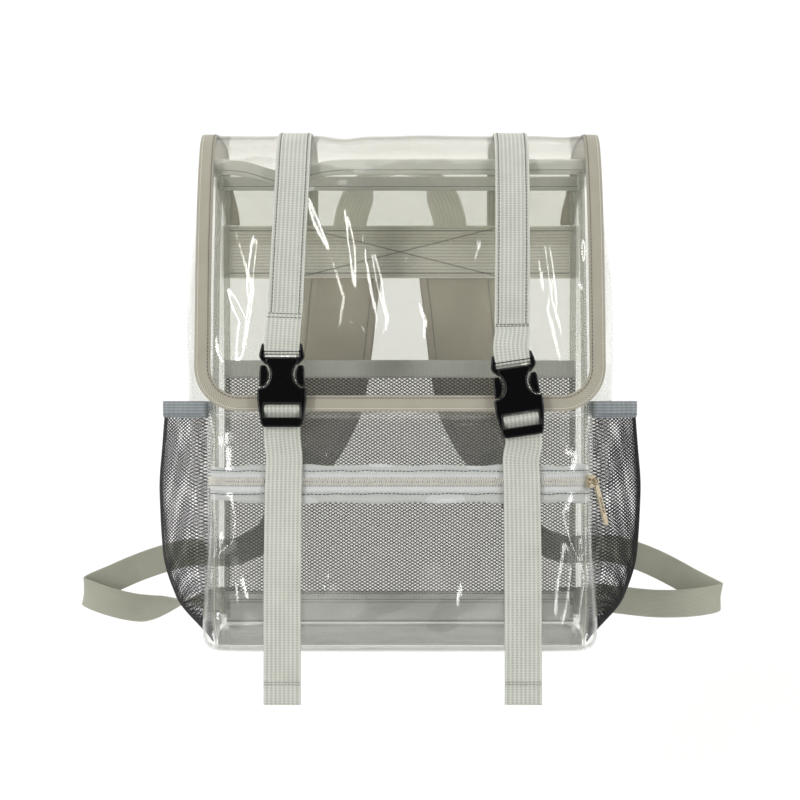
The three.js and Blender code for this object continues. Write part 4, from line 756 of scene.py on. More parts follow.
outer_flap, inner_flap = flap_grid(0.95), flap_grid(0.1)
flap_wave = waves(np.tile(spaced(FLAP_COLUMNS, -1, 1), (len(flap_rows()), 1)),
                  np.tile(flap_rows()[:, None] / SHEET_LENGTH, (1, FLAP_COLUMNS)), 0.9, long=1.5, short=6.0)
hanging = ease(-35, -55, outer_flap[..., 1])
flap_rise = flap_wave * 0.4 + hanging * np.maximum(
    creased(outer_flap[..., 0], outer_flap[..., 2], flap_creases),
    creased(outer_flap[..., 0], outer_flap[..., 2], broad_flap_creases, tall=2.7, wide=5.2))
outward = normals_of(outer_flap)
outward *= np.sign(-outward[len(outward) * 3 // 4, FLAP_COLUMNS // 2, 1])
ripple = flap_rise[..., None] * outward
flap_film = shell("flap_film", outer_flap + ripple, inner_flap + ripple, film_flap, "clear_pvc",
                  replaces=["flap"])
print("flap of", len(flap_film.data.polygons), "faces")

# %% [markdown]
# ## Binding tape
# The film's raw edges are wrapped in twill tape folded in half, 12 to 13 mm deep on each side. Each
# station of the edge has a rule that gives a point e in from the edge and n off the film's middle, so
# the same section of folded tape can run along the mouth and round the flap.

# %% Folded binding tape
def tape_section(deep, film_thick=1.0, cloth_thick=0.75):
    """The tape's outline as (e, n) pairs: outside skin, round the edge, inside skin."""
    n = film_thick / 2 + 0.08
    far = n + cloth_thick
    bend = [(-cloth_thick * math.cos(a), far * math.sin(a)) for a in np.radians((60, 25, 0, -25, -60))]
    outer = [(deep, n + 0.2), (deep - 0.15, far), (deep * 0.66, far + 0.1), (deep * 0.33, far + 0.1),
             (0.6, far)]
    mirrored = [(e, -h) for e, h in reversed(outer)]
    return np.array(outer + bend + mirrored + [(deep, -n), (0.05, -n), (0.05, n), (deep, n)])


def tape_along(name, places, deep, closed, slot="binding_tape", finish=None, **more):
    section = tape_section(deep)
    rings = np.array([[place(e, h) for e, h in section] for place in places])
    if closed:
        rings = np.concatenate([rings, rings[:1]])
    count, around = rings.shape[:2]
    ids = np.arange((count - closed) * around).reshape(-1, around)
    grid = np.concatenate([ids, ids[:1]]) if closed else ids
    faces = quads(np.concatenate([grid, grid[:, :1]], axis=1))
    points = rings[:count - closed].reshape(-1, 3)
    run = run_of(rings[:, 2])[:count - closed]
    uv = np.stack(np.broadcast_arrays(run_of(section)[None, :], run[:, None]), -1).reshape(-1, 2)
    faces = closed_out(points, faces).tolist()
    if not closed:
        faces += [tuple(ids[0]), tuple(ids[-1][::-1])]
    return piece(name, points, faces, finish or binding_twill, slot, uv=uv, **more)


def wobble(count, amount, seed):
    """Slow uneven wander for a hand-guided edge."""
    noise = np.random.default_rng(seed).normal(size=count + 40)
    soft = np.convolve(noise, np.hanning(13) / np.hanning(13).sum(), "same")[20:20 + count]
    return amount * soft / max(np.abs(soft).max(), 1e-6)


def mouth_places():
    places = []

    def along_front(x_share, back):
        def place(e, n):
            body = at_height(RIM - e)
            turn = math.copysign(1, x_share) if abs(x_share) == 1 else 0
            x = x_share * (float(body["back"] if back else body["front"]) - 0.5)
            top = RIM if back else float(front_rim(x))
            face = float(body["y_back"]) - 0.5 if back else float(front_face(x, RIM - e)) + 0.5
            return (x + n * turn, face + n * (1 if back else -1), top - e)
        return place

    def along_side(side, v):
        def place(e, n):
            x, y, z = gusset_face(side, v, RIM - e)
            return (x + side * (n - 0.5), y, RIM - e)
        return place

    places += [along_front(u, False) for u in spaced(100, -1, 1)]
    places += [along_side(1, v) for v in spaced(30)[1:-1]]
    places += [along_front(u, True) for u in spaced(100, 1, -1)]
    places += [along_side(-1, v) for v in spaced(30)[::-1][1:-1]]
    return places


mouth_tape = tape_along("mouth_tape", mouth_places(), 12.0, True, finish=rim_twill,
                        replaces=["mouth_binding"])


def flap_edge():
    """Edge of the flap's sheet as (x, s, outward x, outward s), from one end at the band to the other."""
    side = []
    for s in flap_rows():
        into = min(max((s - (SHEET_LENGTH - FLAP_CORNER)) / FLAP_CORNER, 0), 1)
        side.append((float(flap_half(s)), s, math.cos(math.asin(into)), into))
    last = side[-1][0]
    foot = [(u * last, SHEET_LENGTH, 0.0, 1.0) for u in spaced(70, 1, -1)[1:-1]]
    edge = side + foot + [(-x, s, -ex, es) for x, s, ex, es in reversed(side)]
    return [p for p in edge if p[1] > 18.3]


def flap_places(edge):
    return [lambda e, n, p=p: on_flap(p[0] - e * p[2], p[1] - e * p[3], 0.5 + n) for p in edge]


flap_tape = tape_along("flap_tape", flap_places(flap_edge()), 12.3, False, replaces=["flap_binding"])
print("binding tape:", len(mouth_tape.data.polygons), "and", len(flap_tape.data.polygons), "faces")

# %% [markdown]
# ## Front pocket
# The pocket is a shallow tray of film with rounded sides, deepest near the floor. It is cut in two
# by the zip, and its cloth tapes are sewn behind the cut edges.

# %% Front pocket of film
POCKET, POCKET_DEPTH, POCKET_WIDTH, ZIP = 195.0, 48.0, 330.0, 138.0
pocket_rows = np.array([
    (0.0, 0.0, 0.945), (0.003, 0.55, 0.95), (0.012, 0.86, 0.965), (0.04, 0.95, 0.985), (0.11, 1.0, 1.0),
    (0.23, 1.01, 0.994), (0.4, 0.95, 0.978), (0.56, 0.84, 0.972), (0.71, 0.69, 0.973), (0.88, 0.46, 0.97),
    (0.965, 0.31, 0.966), (0.993, 0.17, 0.962), (1.0, 0.0, 0.955)])
pocket_deep = table_curve(pocket_rows[:, 0], pocket_rows[:, 1])
pocket_wide = table_curve(pocket_rows[:, 0], pocket_rows[:, 2])


def pocket_face(u, z, inset=0.0, forward=0.0):
    up = np.asarray(z, float) / POCKET
    side = np.sqrt(np.maximum(1 - np.abs(u) ** 16, 0))
    drawn = 5 * ease(0, 0.12, up) * (1 - ease(0.86, 1, up)) * (1 - side) ** 1.5
    x = u * (POCKET_WIDTH / 2 * pocket_wide(up) - inset) - np.sign(u) * drawn
    calm = ease(0.02, 0.12, up) * ease(16, 32, np.abs(z - ZIP))
    press = calm * side * fold_depth(pocket_folds, u, up, POCKET_DEPTH)
    depth = np.maximum(POCKET_DEPTH * pocket_deep(up) - inset, 0)
    level = z + inset * (1 - ease(0, 8, z) - ease(POCKET - 8, POCKET, z))
    y = at_height(z)["y_front"] - 0.3 - depth * side + press - forward * side
    return np.stack(np.broadcast_arrays(x, y, level), -1)


pocket_u = np.sign(spaced(161, -1, 1)) * (1 - (1 - np.abs(spaced(161, -1, 1))) ** 1.6)


def pocket_part(name, levels, node, amount):
    z, u = np.meshgrid(levels, pocket_u, indexing="ij")
    up = (z - levels[0]) / (levels[-1] - levels[0])
    forward = waves(u, up, amount, long=2.0, short=7.0)
    forward = forward + creased(pocket_face(u, z)[..., 0], z, pocket_creases)
    return shell(name, pocket_face(u, z, 0.0, forward), pocket_face(u, z, 0.9, forward), film_pocket,
                 "clear_pvc", replaces=[node])


low_levels = np.concatenate([[0, 0.3, 0.585, 1.2, 2.3, 4.5, 7.8], spaced(62, 11, ZIP - 7)])
high_levels = np.concatenate([spaced(16, ZIP + 6.5, 188), [190, 191.6, 192.8, 193.7, 194.3, 194.8, 195]])
pocket_low = pocket_part("pocket_film_below_zip", low_levels, "pocket_lower", 0.9)
pocket_high = pocket_part("pocket_film_above_zip", high_levels, "pocket_upper", 0.3)
print("pocket film:", len(pocket_low.data.polygons), "and", len(pocket_high.data.polygons), "faces")

# %% [markdown]
# ## Webbing
# Webbing keeps its width and only bends along its length, so each strap is one flat section swept
# through stations (x, y, z and, where it turns, the direction across it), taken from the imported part.
# The section has rounded selvedges, which catch the light as thin pale lines.

# %% Straps at the front
WEBBING = 1.5
SIDES = ((-1, "left"), (1, "right"))
over_flap = [
    (63.9, 349.2), (63.9, 359.8), (63.8, 371.5), (63.2, 383), (63.5, 394.7), (62.9, 406.3), (60, 418.3),
    (51.2, 427.3), (39.3, 430.8), (27.6, 431.2), (16.2, 431.4), (4.6, 431.3), (-6.9, 430.9), (-18.2, 430.9),
    (-30.3, 429.9), (-41.1, 423.9), (-48.8, 414.4), (-53.9, 403.8), (-58, 392.9), (-61.4, 381.8),
    (-64.4, 370.7), (-67.1, 359.5), (-69.5, 348.3), (-71.6, 336.9), (-73.4, 325.5), (-74.9, 314.1),
    (-76.1, 302.7), (-77.3, 291.3), (-78.3, 279.8)]
left_way = [-88.8] * 15 + [-88.9, -89, -89.2, -89.4, -89.7, -90.1, -90.5, -90.9, -91.4, -91.8, -92.3, -92.7,
                           -93.2, -93.6]
right_way = [93.6] * 16 + [93.5, 93.4, 93.3, 93.2, 93.1, 92.9, 92.7, 92.6, 92.4, 92.2, 92, 91.8, 91.7]
left_upper_line = [(x, *row) for x, row in zip(left_way, over_flap)] + [
    (-94.2, -86, 268.9), (-94.7, -91, 258), (-95.2, -93.1, 249), (-95.5, -93.4, 243.5),
    (-95.5, -93.1, 242.2), (-95.5, -92.1, 241.3), (-95.5, -90.8, 240.9), (-95.5, -89.5, 241.3),
    (-95.5, -88.5, 242.2), (-95.5, -88.2, 243.5), (-95.5, -89.3, 248.7), (-95.5, -89.2, 253.3),
    (-95.5, -88.4, 256.5)]
right_upper_line = [(x, *row) for x, row in zip(right_way, over_flap)] + [
    (91.5, -79.2, 268.4), (91.3, -86.5, 258.5, 1, 0, 0.07),
    (89.7, -91.1, 248.6, 0.99, 0, 0.13), (90.2, -93.1, 240.5, 0.99, 0, 0.15),
    (90.9, -93.4, 235.7, 0.99, 0, 0.15), (91.1, -93.1, 234.4, 0.99, 0, 0.15),
    (91.3, -92.1, 233.4, 0.99, 0, 0.15), (91.3, -90.8, 233.1, 0.99, 0, 0.15),
    (91.3, -89.5, 233.4, 0.99, 0, 0.15), (91.1, -88.5, 234.4, 0.99, 0, 0.15),
    (90.9, -88.2, 235.7, 0.99, 0, 0.15), (90.2, -89.2, 240.8, 0.99, 0, 0.15),
    (89.7, -89, 245.3, 0.99, 0, 0.14), (89.7, -88.2, 248.6, 0.99, 0, 0.13)]


def lower_line(x, belly, round_bar):
    """A lower strap: up the pocket's front, round the buckle's bar and down again as the free tail."""
    up = [(-104.6, 4), (-106.5, 6.5), (-107.7, 9.9), (-109.3, 16), (belly, 25.9), (-110.9, 40),
          (-110.5, 58), (-108.7, 76), (-106.2, 94), (-102.7, 112.1), (-100.1, 124), (-98.6, 132),
          (-95.1, 144), (-90.4, 156)]
    tail = [(-92.5, 156), (-96.9, 144), (-100.4, 132), (-101.9, 124), (-104.5, 112.1), (-108, 94),
            (-110.5, 76), (-112.3, 58), (-112.7, 40), (-112.7, 20), (-112.7, 0), (-112.7, -17.9),
            (-112.7, -38)]
    return [(x, *row) for row in up] + round_bar + [(x, *row) for row in tail]


left_lower_line = lower_line(-93.6, -110.4, [(-95.5, y, z) for y, z in (
    (-87.6, 176), (-87.6, 188), (-87.4, 197.6), (-87.7, 198.9), (-88.7, 199.9), (-90, 200.2), (-91.3, 199.9),
    (-92.3, 198.9), (-92.6, 197.6), (-92.6, 196.5), (-89.4, 192), (-89.6, 176))])
right_lower_line = lower_line(97.9, -110.3, [
    (100.3, -87.6, 168.8, 0.99, 0, 0.13), (99.1, -87.6, 180.7, 0.99, 0, 0.15),
    (97.7, -87.4, 190.3, 0.99, 0, 0.15), (97.5, -87.7, 191.6, 0.99, 0, 0.15),
    (97.4, -88.7, 192.5, 0.99, 0, 0.15), (97.3, -90, 192.9, 0.99, 0, 0.15),
    (97.4, -91.3, 192.5, 0.99, 0, 0.15), (97.5, -92.3, 191.6, 0.99, 0, 0.15),
    (97.7, -92.6, 190.3, 0.99, 0, 0.15), (97.9, -92.6, 189.2, 0.99, 0, 0.15),
    (98.5, -89.4, 184.7, 0.99, 0, 0.15), (100.3, -89.6, 168.8, 0.99, 0, 0.13)])
front_straps = {"left": (left_upper_line, left_lower_line), "right": (right_upper_line, right_lower_line)}
for part, (level, width) in enumerate((("upper", 28.5), ("lower", 29.5))):
    for label, lines in front_straps.items():
        ribbon(f"{label}_{level}_webbing", lines[part], width, WEBBING, pale_webbing, "pale_webbing",
               replaces=[f"{label}_{level}_strap"])
print("front straps have", [len(line) for lines in front_straps.values() for line in lines], "stations")

# %% Band and haul loop
haul_line = [
    (-46, 63.9, 332.8), (-46, 63.9, 347.4), (-46, 63.9, 360.4), (-45.1, 64.5, 368.2),
    (-43.3, 65.7, 376, 0.99, 0.12, 0), (-40.8, 67.6, 383.8, 0.97, 0.26, 0),
    (-37.4, 70, 391.6, 0.90, 0.44, 0), (-33.5, 72.2, 398.4, 0.78, 0.63, 0),
    (-29, 74.3, 404.1, 0.62, 0.78, 0), (-23.4, 76.2, 408.8, 0.46, 0.89, 0),
    (-17.7, 77.5, 411.9, 0.31, 0.95, 0), (-7.6, 78.4, 414, 0.12, 0.99, 0), (0, 78.9, 415, 0, 1, 0),
    (7.6, 78.4, 414, -0.12, 0.99, 0), (17.7, 77.5, 411.9, -0.31, 0.95, 0),
    (23.4, 76.2, 408.8, -0.46, 0.89, 0), (29, 74.3, 404.1, -0.62, 0.78, 0),
    (33.5, 72.2, 398.4, -0.78, 0.63, 0), (37.4, 70, 391.6, -0.90, 0.44, 0),
    (40.8, 67.6, 383.8, -0.97, 0.26, 0), (43.3, 65.7, 376, -0.99, 0.12, 0),
    (45.1, 64.5, 368.2, -1, 0.04, 0), (46, 63.9, 360.4, -1, 0, 0), (46, 63.9, 347.4, -1, 0, 0),
    (46, 63.9, 332.8, -1, 0, 0)]
BAND_HEIGHT, BAND_PLACE = 339, 62.1
band_line = [(x, y, BAND_HEIGHT, 0, 0, 1) for x, y in (
    (-162, 60.8), (-160.1, 61.5), (-157.9, BAND_PLACE), (-81, BAND_PLACE), (0, BAND_PLACE), (81, BAND_PLACE),
    (157.9, BAND_PLACE), (160.1, 61.5), (162, 60.8))]
band = ribbon("wide_band", band_line, 48, WEBBING, band_webbing, "pale_webbing", replaces=["back_band"])
haul = ribbon("haul_webbing", haul_line, 30, WEBBING, haul_weave, "pale_webbing", replaces=["haul_loop"])
print("band and haul loop:", len(band.data.polygons), len(haul.data.polygons))

# %% Side loops of the shoulder straps
def other_side(line):
    return [(-s[0], *s[1:4], -s[4], -s[5]) for s in line]


def at_lock(places):
    """Stations that lie across the ladder lock, which hangs a little askew."""
    return [(*place, 0.90, -0.06, -0.43) for place in places]


through_lock = at_lock([
    (-113.1, 82, 94.8), (-109.7, 83, 101.9), (-106.2, 83.6, 109.1), (-98.4, 85.4, 125.3),
    (-97.8, 85.2, 126.5), (-97.4, 84.3, 127.6), (-97.2, 83, 128.1), (-97.4, 81.6, 128), (-97.8, 80.5, 127.2),
    (-98.4, 79.9, 126), (-99.7, 79.5, 123.4), (-106.2, 77, 110.1)])
left_web_line = through_lock + [
    (-128, 81.7, 75.2, 0.55, 0, -0.83), (-139.2, 80.6, 68.9, 0.45, 0, -0.89),
    (-151.3, 79.3, 63.8, 0.35, 0, -0.94), (-170.9, 76.9, 63.5, 0.23, 0, -0.97),
    (-192.1, 74.4, 63.8, 0.10, 0, -1), (-212.9, 72.3, 59.3, 0.10, 0, -1), (-232.8, 70.1, 53, 0.10, 0, -1),
    (-248, 68.1, 47.1, 0.12, 0, -0.99), (-261.9, 65.9, 41, 0.15, 0, -0.99),
    (-273.3, 64.5, 36.3, 0.07, 0, -1), (-282.3, 62.2, 32.5, 0, 0, -1), (-285.4, 59.6, 31.2, -0.04, 0, -1),
    (-286.6, 56.7, 30.2, -0.08, 0, -1), (-284.7, 54.1, 29.2, -0.09, 0, -1),
    (-280.8, 51.9, 27.9, -0.10, 0, -1), (-269.6, 50, 24, -0.10, -0.05, -0.99),
    (-256.1, 50, 19.9, -0.10, -0.10, -0.99), (-244.2, 51.3, 17, -0.05, -0.22, -0.97),
    (-232.8, 53.1, 15.4, 0, -0.35, -0.94), (-223.9, 53.9, 16.1, 0, -0.60, -0.80),
    (-215.3, 54.9, 17.7, 0, -0.80, -0.60), (-206.6, 56.6, 19.2, 0, -0.95, -0.32),
    (-197.9, 58.6, 20.5, 0, -1, 0), (-189.2, 60.4, 21.2, 0, -0.95, 0.32),
    (-180.4, 62.2, 21.7, 0, -0.80, 0.60), (-171.2, 63.6, 21, 0, -0.29, 0.96), (-161.5, 62.1, 21, 0, 0, 1),
    (-145.4, 62.1, 21, 0, 0, 1)]
right_web_line = other_side(through_lock) + [
    (128, 81.7, 75.2, 0.55, 0, 0.83), (139.2, 80.5, 70.1, 0.45, 0, 0.89),
    (151.3, 79.3, 66.1, 0.35, 0, 0.94), (171, 77.5, 66.6, 0.27, 0, 0.96),
    (192.1, 75.6, 67.3, 0.20, 0, 0.98), (212.8, 73.9, 62.3, 0.22, 0, 0.98),
    (232.8, 72, 54.7, 0.24, 0, 0.97), (251.2, 69.7, 45.6, 0.26, 0, 0.97),
    (267.7, 67.1, 36.5, 0.27, 0, 0.96), (278.4, 65.1, 31.2, 0.19, 0, 0.98),
    (286.6, 62.2, 27.4, 0.10, 0, 1), (289.7, 59.5, 26.3, 0.10, 0, 1), (291, 56.7, 25.7, 0.10, 0, 1),
    (289.1, 54.1, 24.8, 0.07, 0, 1), (285.2, 51.9, 23.9, 0.05, 0, 1), (274.8, 50.1, 22.1, 0.02, 0, 1),
    (261.9, 50, 20.5, 0, 0, 1), (247.6, 51.1, 19.6, 0, 0, 1), (232.8, 53.1, 19.4, 0, 0, 1),
    (218, 55.1, 20.3, 0.02, 0, 1), (203.7, 57.3, 21.7, 0.05, 0, 1), (191.9, 59.7, 22.8, 0.05, 0, 1),
    (180.4, 62.2, 23.9, 0.05, 0, 1), (171.2, 63.6, 21, 0, 0, 1), (161.5, 62.1, 21, 0, 0, 1),
    (145.4, 62.1, 21, 0, 0, 1)]
tab_line = at_lock([
    (-83.7, 85.5, 156.2), (-92, 83.1, 139.3), (-94.5, 81.1, 134.1), (-95.1, 81.3, 132.8),
    (-95.6, 82.1, 131.8), (-95.7, 83.5, 131.2), (-95.6, 84.9, 131.4), (-95.1, 86, 132.1),
    (-94.5, 86.5, 133.3), (-92, 86.1, 138.8), (-83.7, 95.4, 154.8)])
shoulder_parts = (("side", "shoulder_web", 25, left_web_line, right_web_line),
                  ("tab", "pad_tab", 24, tab_line, other_side(tab_line)))
for part, node, width, *lines in shoulder_parts:
    for label, line in zip(("left", "right"), lines):
        ribbon(f"{label}_{part}_webbing", line, width, WEBBING, olive_webbing, "olive_webbing",
               replaces=[f"{label}_{node}"])
print("side loops have", len(left_web_line), "and", len(right_web_line), "stations")

# %% [markdown]
# ## Nets and their elastic hems
# The pocket nets are knitted in small diamonds. A picture of a net on a sheet would vanish edge-on,
# so the net is made of threads: two families of slanting lines that follow the pocket's surface. They
# are drawn as edges, and Geometry Nodes gives each edge a round thread. Real yarn is 0.3 mm thick in
# diamonds of 3 mm. That would blur to grey here, so the diamonds are 5 mm by 3 mm and the yarn 0.8 to
# 1 mm thick, which keeps as much light out.

# %% Geometry Nodes for threads
def input_socket(tree, name, kind):
    return tree.interface.new_socket(name=name, in_out="INPUT", socket_type=kind)


def tree_from_edges(name, *sizes):
    """A tree whose inputs are an object of edges, some sizes and a material, up to the edges as curves."""
    tree = bpy.data.node_groups.new(name, "GeometryNodeTree")
    input_socket(tree, "Geometry", "NodeSocketGeometry")
    for size in sizes:
        input_socket(tree, size, "NodeSocketFloat")
    input_socket(tree, "Material", "NodeSocketMaterial")
    tree.interface.new_socket(name="Geometry", in_out="OUTPUT", socket_type="NodeSocketGeometry")
    given = add(tree, "NodeGroupInput")
    return tree, given, add(tree, "GeometryNodeMeshToCurve", {"Mesh": given.outputs["Geometry"]})


def end_tree(tree, given, shape):
    made = add(tree, "GeometryNodeRealizeInstances", {0: shape.outputs[0]})
    painted = add(tree, "GeometryNodeSetMaterial", {"Geometry": made.outputs[0],
                                                    "Material": given.outputs["Material"]})
    add(tree, "NodeGroupOutput", {"Geometry": painted.outputs[0]})
    return tree


def thread_tree():
    tree, given, lines = tree_from_edges("threads_from_edges", "Radius")
    ring = add(tree, "GeometryNodeCurvePrimitiveCircle", {"Resolution": 3, "Radius": given.outputs["Radius"]})
    tube = add(tree, "GeometryNodeCurveToMesh", {"Curve": lines.outputs[0], "Profile Curve": ring.outputs[0]})
    return end_tree(tree, given, tube)


def grown(made, tree, **values):
    """Runs a node tree on an object, keeps the mesh that it makes and drops the modifier."""
    step = made.modifiers.new("grow", "NODES")
    step.node_group = tree
    for item in tree.interface.items_tree:
        if item.item_type == "SOCKET" and item.in_out == "INPUT" and item.name in values:
            step[item.identifier] = values[item.name]
    graph = bpy.context.evaluated_depsgraph_get()
    graph.update()
    mesh = bpy.data.meshes.new_from_object(made.evaluated_get(graph), depsgraph=graph)
    mesh.name = made.name
    made.modifiers.remove(step)
    made.data = mesh
    if not len(mesh.materials):
        mesh.materials.append(values["Material"])
    mesh.polygons.foreach_set("use_smooth", [True] * len(mesh.polygons))
    return made


def edge_object(name, lines_mm):
    """An object of loose edges, one open line after another."""
    points = np.concatenate([np.asarray(line, float) for line in lines_mm])
    edges, start = [], 0
    for line in lines_mm:
        edges += [(start + i, start + i + 1) for i in range(len(line) - 1)]
        start += len(line)
    mesh = bpy.data.meshes.new(name)
    mesh.from_pydata(placed(points).tolist(), edges, [])
    made = bpy.data.objects.new(name, mesh)
    scene.collection.objects.link(made)
    return made


threads = thread_tree()


def stitch_tree():
    """A seam: the line is cut into even steps, and each step carries one short thread along it."""
    tree, given, lines = tree_from_edges("stitches_along_edges", "Pitch", "Length", "Radius")
    steps = add(tree, "GeometryNodeResampleCurve", {"Curve": lines.outputs[0], "Length": given.outputs["Pitch"]},
                mode="LENGTH")
    bead = add(tree, "GeometryNodeMeshCylinder", {"Vertices": 6, "Radius": given.outputs["Radius"],
                                                  "Depth": given.outputs["Length"]})
    along = add(tree, "GeometryNodeInputTangent")
    turned = add(tree, "FunctionNodeAlignRotationToVector", {"Vector": along.outputs[0]}, axis="Z")
    placed_on = add(tree, "GeometryNodeInstanceOnPoints", {
        "Points": steps.outputs[0], "Instance": bead.outputs[0], "Rotation": turned.outputs[0]})
    return end_tree(tree, given, placed_on)


stitches = stitch_tree()


def sewn(name, lines_mm, finish, pitch=2.7, long=1.9, radius=0.32):
    """Stitches along one or more lines of points."""
    made = grown(edge_object(name, lines_mm), stitches, Pitch=pitch / 1000, Length=long / 1000,
                 Radius=radius / 1000, Material=finish)
    return dressed(made)


SHORTEST_THREAD = 0.6


def diamond_lines(wide, high, across_pitch, up_pitch, step):
    """Slanting lines over a wide x high rectangle, both ways, as arrays of (a, b) in millimetres."""
    slope = up_pitch / across_pitch
    lines = []
    for way in (1, -1):
        for start in np.arange(-high / slope, wide + high / slope, across_pitch):
            limits = sorted((-start * slope * way, (wide - start) * slope * way))
            low, top = max(0.0, limits[0]), min(high, limits[1])
            if top - low >= SHORTEST_THREAD:
                b = spaced(max(int((top - low) / step), 1) + 1, low, top)
                lines.append(np.stack([start + way * b / slope, b], -1))
    return lines


def net(name, surface_at, wide, high, node, step, radius, pitch):
    flat = diamond_lines(wide, high, *pitch, step)
    lines = [surface_at(strand[:, 0] / wide, strand[:, 1] / high) for strand in flat]
    made = grown(edge_object(name, lines), threads, Radius=radius / 1000, Material=net_yarn)
    dressed(made, replaces=[node])
    print(name, "has", len(lines), "threads and", len(made.data.polygons), "faces")
    return made


# %% Side pockets of net
side_stand = table_curve([0, 0.06, 0.18, 0.38, 0.65, 0.9, 1], [0.02, 0.36, 0.78, 1, 0.95, 0.74, 0.66])
SIDE_NET_TOP, SIDE_HEM_TOP = 189, 203
INNER_NET_FOOT, INNER_HEM_FOOT, INNER_HEM_TOP = 29, 224, 240


def side_net_face(side, v, z):
    share = z / SIDE_NET_TOP
    stand = 31 * side_stand(np.minimum(share, 1))
    gather = 1 + 0.06 * np.sin(7 * math.pi * v) * ease(0.2, 0.9, share)
    grid = gusset_face(side, 0.06 + 0.88 * v, z)
    off = 1.6 + stand * np.sin(math.pi * np.clip(v, 0, 1)) ** 0.65 * gather
    return np.stack([grid[..., 0] + side * (off - 0.4), grid[..., 1], grid[..., 2]], -1)


for side, label in SIDES:
    net(f"{label}_side_net_threads", lambda a, b, side=side: side_net_face(side, a, 2 + b * 187), 150, 187,
        f"{label}_side_net", 3.5, radius=0.38 if side < 0 else 0.46, pitch=(5.2, 3.0))

# %% Net pocket inside the back
def inner_net_face(u, z):
    share = (z - INNER_NET_FOOT) / (INNER_HEM_TOP - INNER_NET_FOOT)
    sag = 12 * np.sin(math.pi * 0.62 * share) * (1 - u * u)
    half = at_height(z)["back"] - 2.6
    return np.stack(np.broadcast_arrays(u * half, at_height(z)["y_back"] - 1.6 - sag, z), -1)


net("inner_net_threads", lambda a, b: inner_net_face(2 * a - 1, INNER_NET_FOOT + 0.5 + b * 195), 318, 195,
    "inner_net_pocket", 7.0, radius=0.52, pitch=(4.8, 3.0))


# %% Elastic hems
def hem(name, face_at, low, high, thick, node, columns=110, wave_mm=0.35, finish=None):
    z, v = np.meshgrid(spaced(7, low, high), spaced(columns), indexing="ij")
    outer = face_at(v, z)
    puff = np.sin(math.pi * (z - low) / (high - low)) ** 0.5 * 0.3
    gather = wave_mm * np.sin(2 * math.pi * v * columns / 5.5)
    normal = normals_of(outer)
    facing = np.sign(np.sum(normal * outer * np.array([1, 1, 0]), axis=2, keepdims=True))
    outer = outer + normal * facing * (puff + gather)[..., None]
    return shell(name, outer, outer - normal * facing * (thick + 2 * puff)[..., None], finish or hem_elastic,
                 "grey_elastic", replaces=[node])


for side, label in SIDES:
    hem(f"{label}_side_elastic", lambda v, z, side=side: side_net_face(side, v, z) + np.array([side * 0.6, 0, 0]),
        SIDE_NET_TOP, SIDE_HEM_TOP, 1.3, f"{label}_side_hem")
hem("inner_elastic", lambda v, z: inner_net_face(2 * v - 1, z) + np.array([0, -0.9, 0]), INNER_HEM_FOOT,
    INNER_HEM_TOP, 1.0, "inner_pocket_hem", columns=180, wave_mm=0.0, finish=inner_hem_elastic)
print("three elastic hems made")

# %% [markdown]
# ## Zip
# A nylon coil zip: two tapes, and on each a fine spring of wire sewn along the edge, the turns of one
# between the turns of the other. The springs are true coils, swept as threads along the pocket's face.

# %% Zip tapes and coils
def pocket_strip(name, low, high, wander, set_in, thick, finish, slot, node):
    """A strip along the pocket whose far edge, low or high, wanders a little."""
    share, u = np.meshgrid(spaced(6), spaced(121, -0.98, 0.98), indexing="ij")
    edge_wander = wobble(121, wander, 11)[None, :] * (share if high > ZIP else share - 1)
    z = low + (high - low) * share + edge_wander
    outer = pocket_face(u, z)
    back = at_height(z)["y_front"] - 0.3
    tuck = np.abs(u) ** 12 * np.sign(u)

    def moved(depth):
        return np.stack([outer[..., 0] - tuck * depth, np.minimum(outer[..., 1] + depth, back), z], -1)

    return shell(name, moved(set_in), moved(set_in + thick), finish, slot, replaces=[node])


for name, node, low, high, wander in (("zip_tape_above", "zip_tape_upper", 0.3, 13.0, 2.0),
                                      ("zip_tape_below", "zip_tape_lower", -16.5, -0.3, 1.6)):
    pocket_strip(name, ZIP + low, ZIP + high, wander, 1.2, 0.7, zip_tape_cloth, "zip_tape", node)


def coil(centre_z, phase, pitch=1.75, high=1.7, deep=0.8):
    """One spring of the zip, along the pocket's face."""
    u = spaced(1500, -0.975, 0.975)
    face = pocket_face(u, np.full_like(u, ZIP))
    run = run_of(face)
    turns = np.arange(0, run[-1], pitch / 9)
    centre = np.stack([np.interp(turns, run, face[:, k]) for k in range(3)], -1)
    out = np.cross(unit(np.gradient(centre, axis=0)), (0, 0, 1.0))
    angle = 2 * math.pi * turns / pitch + phase
    return (centre + out * (deep * np.cos(angle) + 0.15)[:, None]
            + np.array([0, 0, 1.0]) * (centre_z - ZIP + high * np.sin(angle))[:, None])


coils = grown(edge_object("zip_coils", [coil(ZIP + 1.75, 0.0), coil(ZIP - 1.75, math.pi)]), threads,
              Radius=0.00042, Material=nylon)
dressed(coils, replaces=["zip_coil"])
print("zip coils have", len(coils.data.polygons), "faces")

# %% [markdown]
# ## Shoulder pads
# Each pad is a strip of foam in cloth, thickest between its bound edges, that stands off the back in
# a bow. Rows give its middle line, width and thickness. The foam and the two seams set the form, so
# a rounded section that dips at the seams gives it, without a cloth simulation.

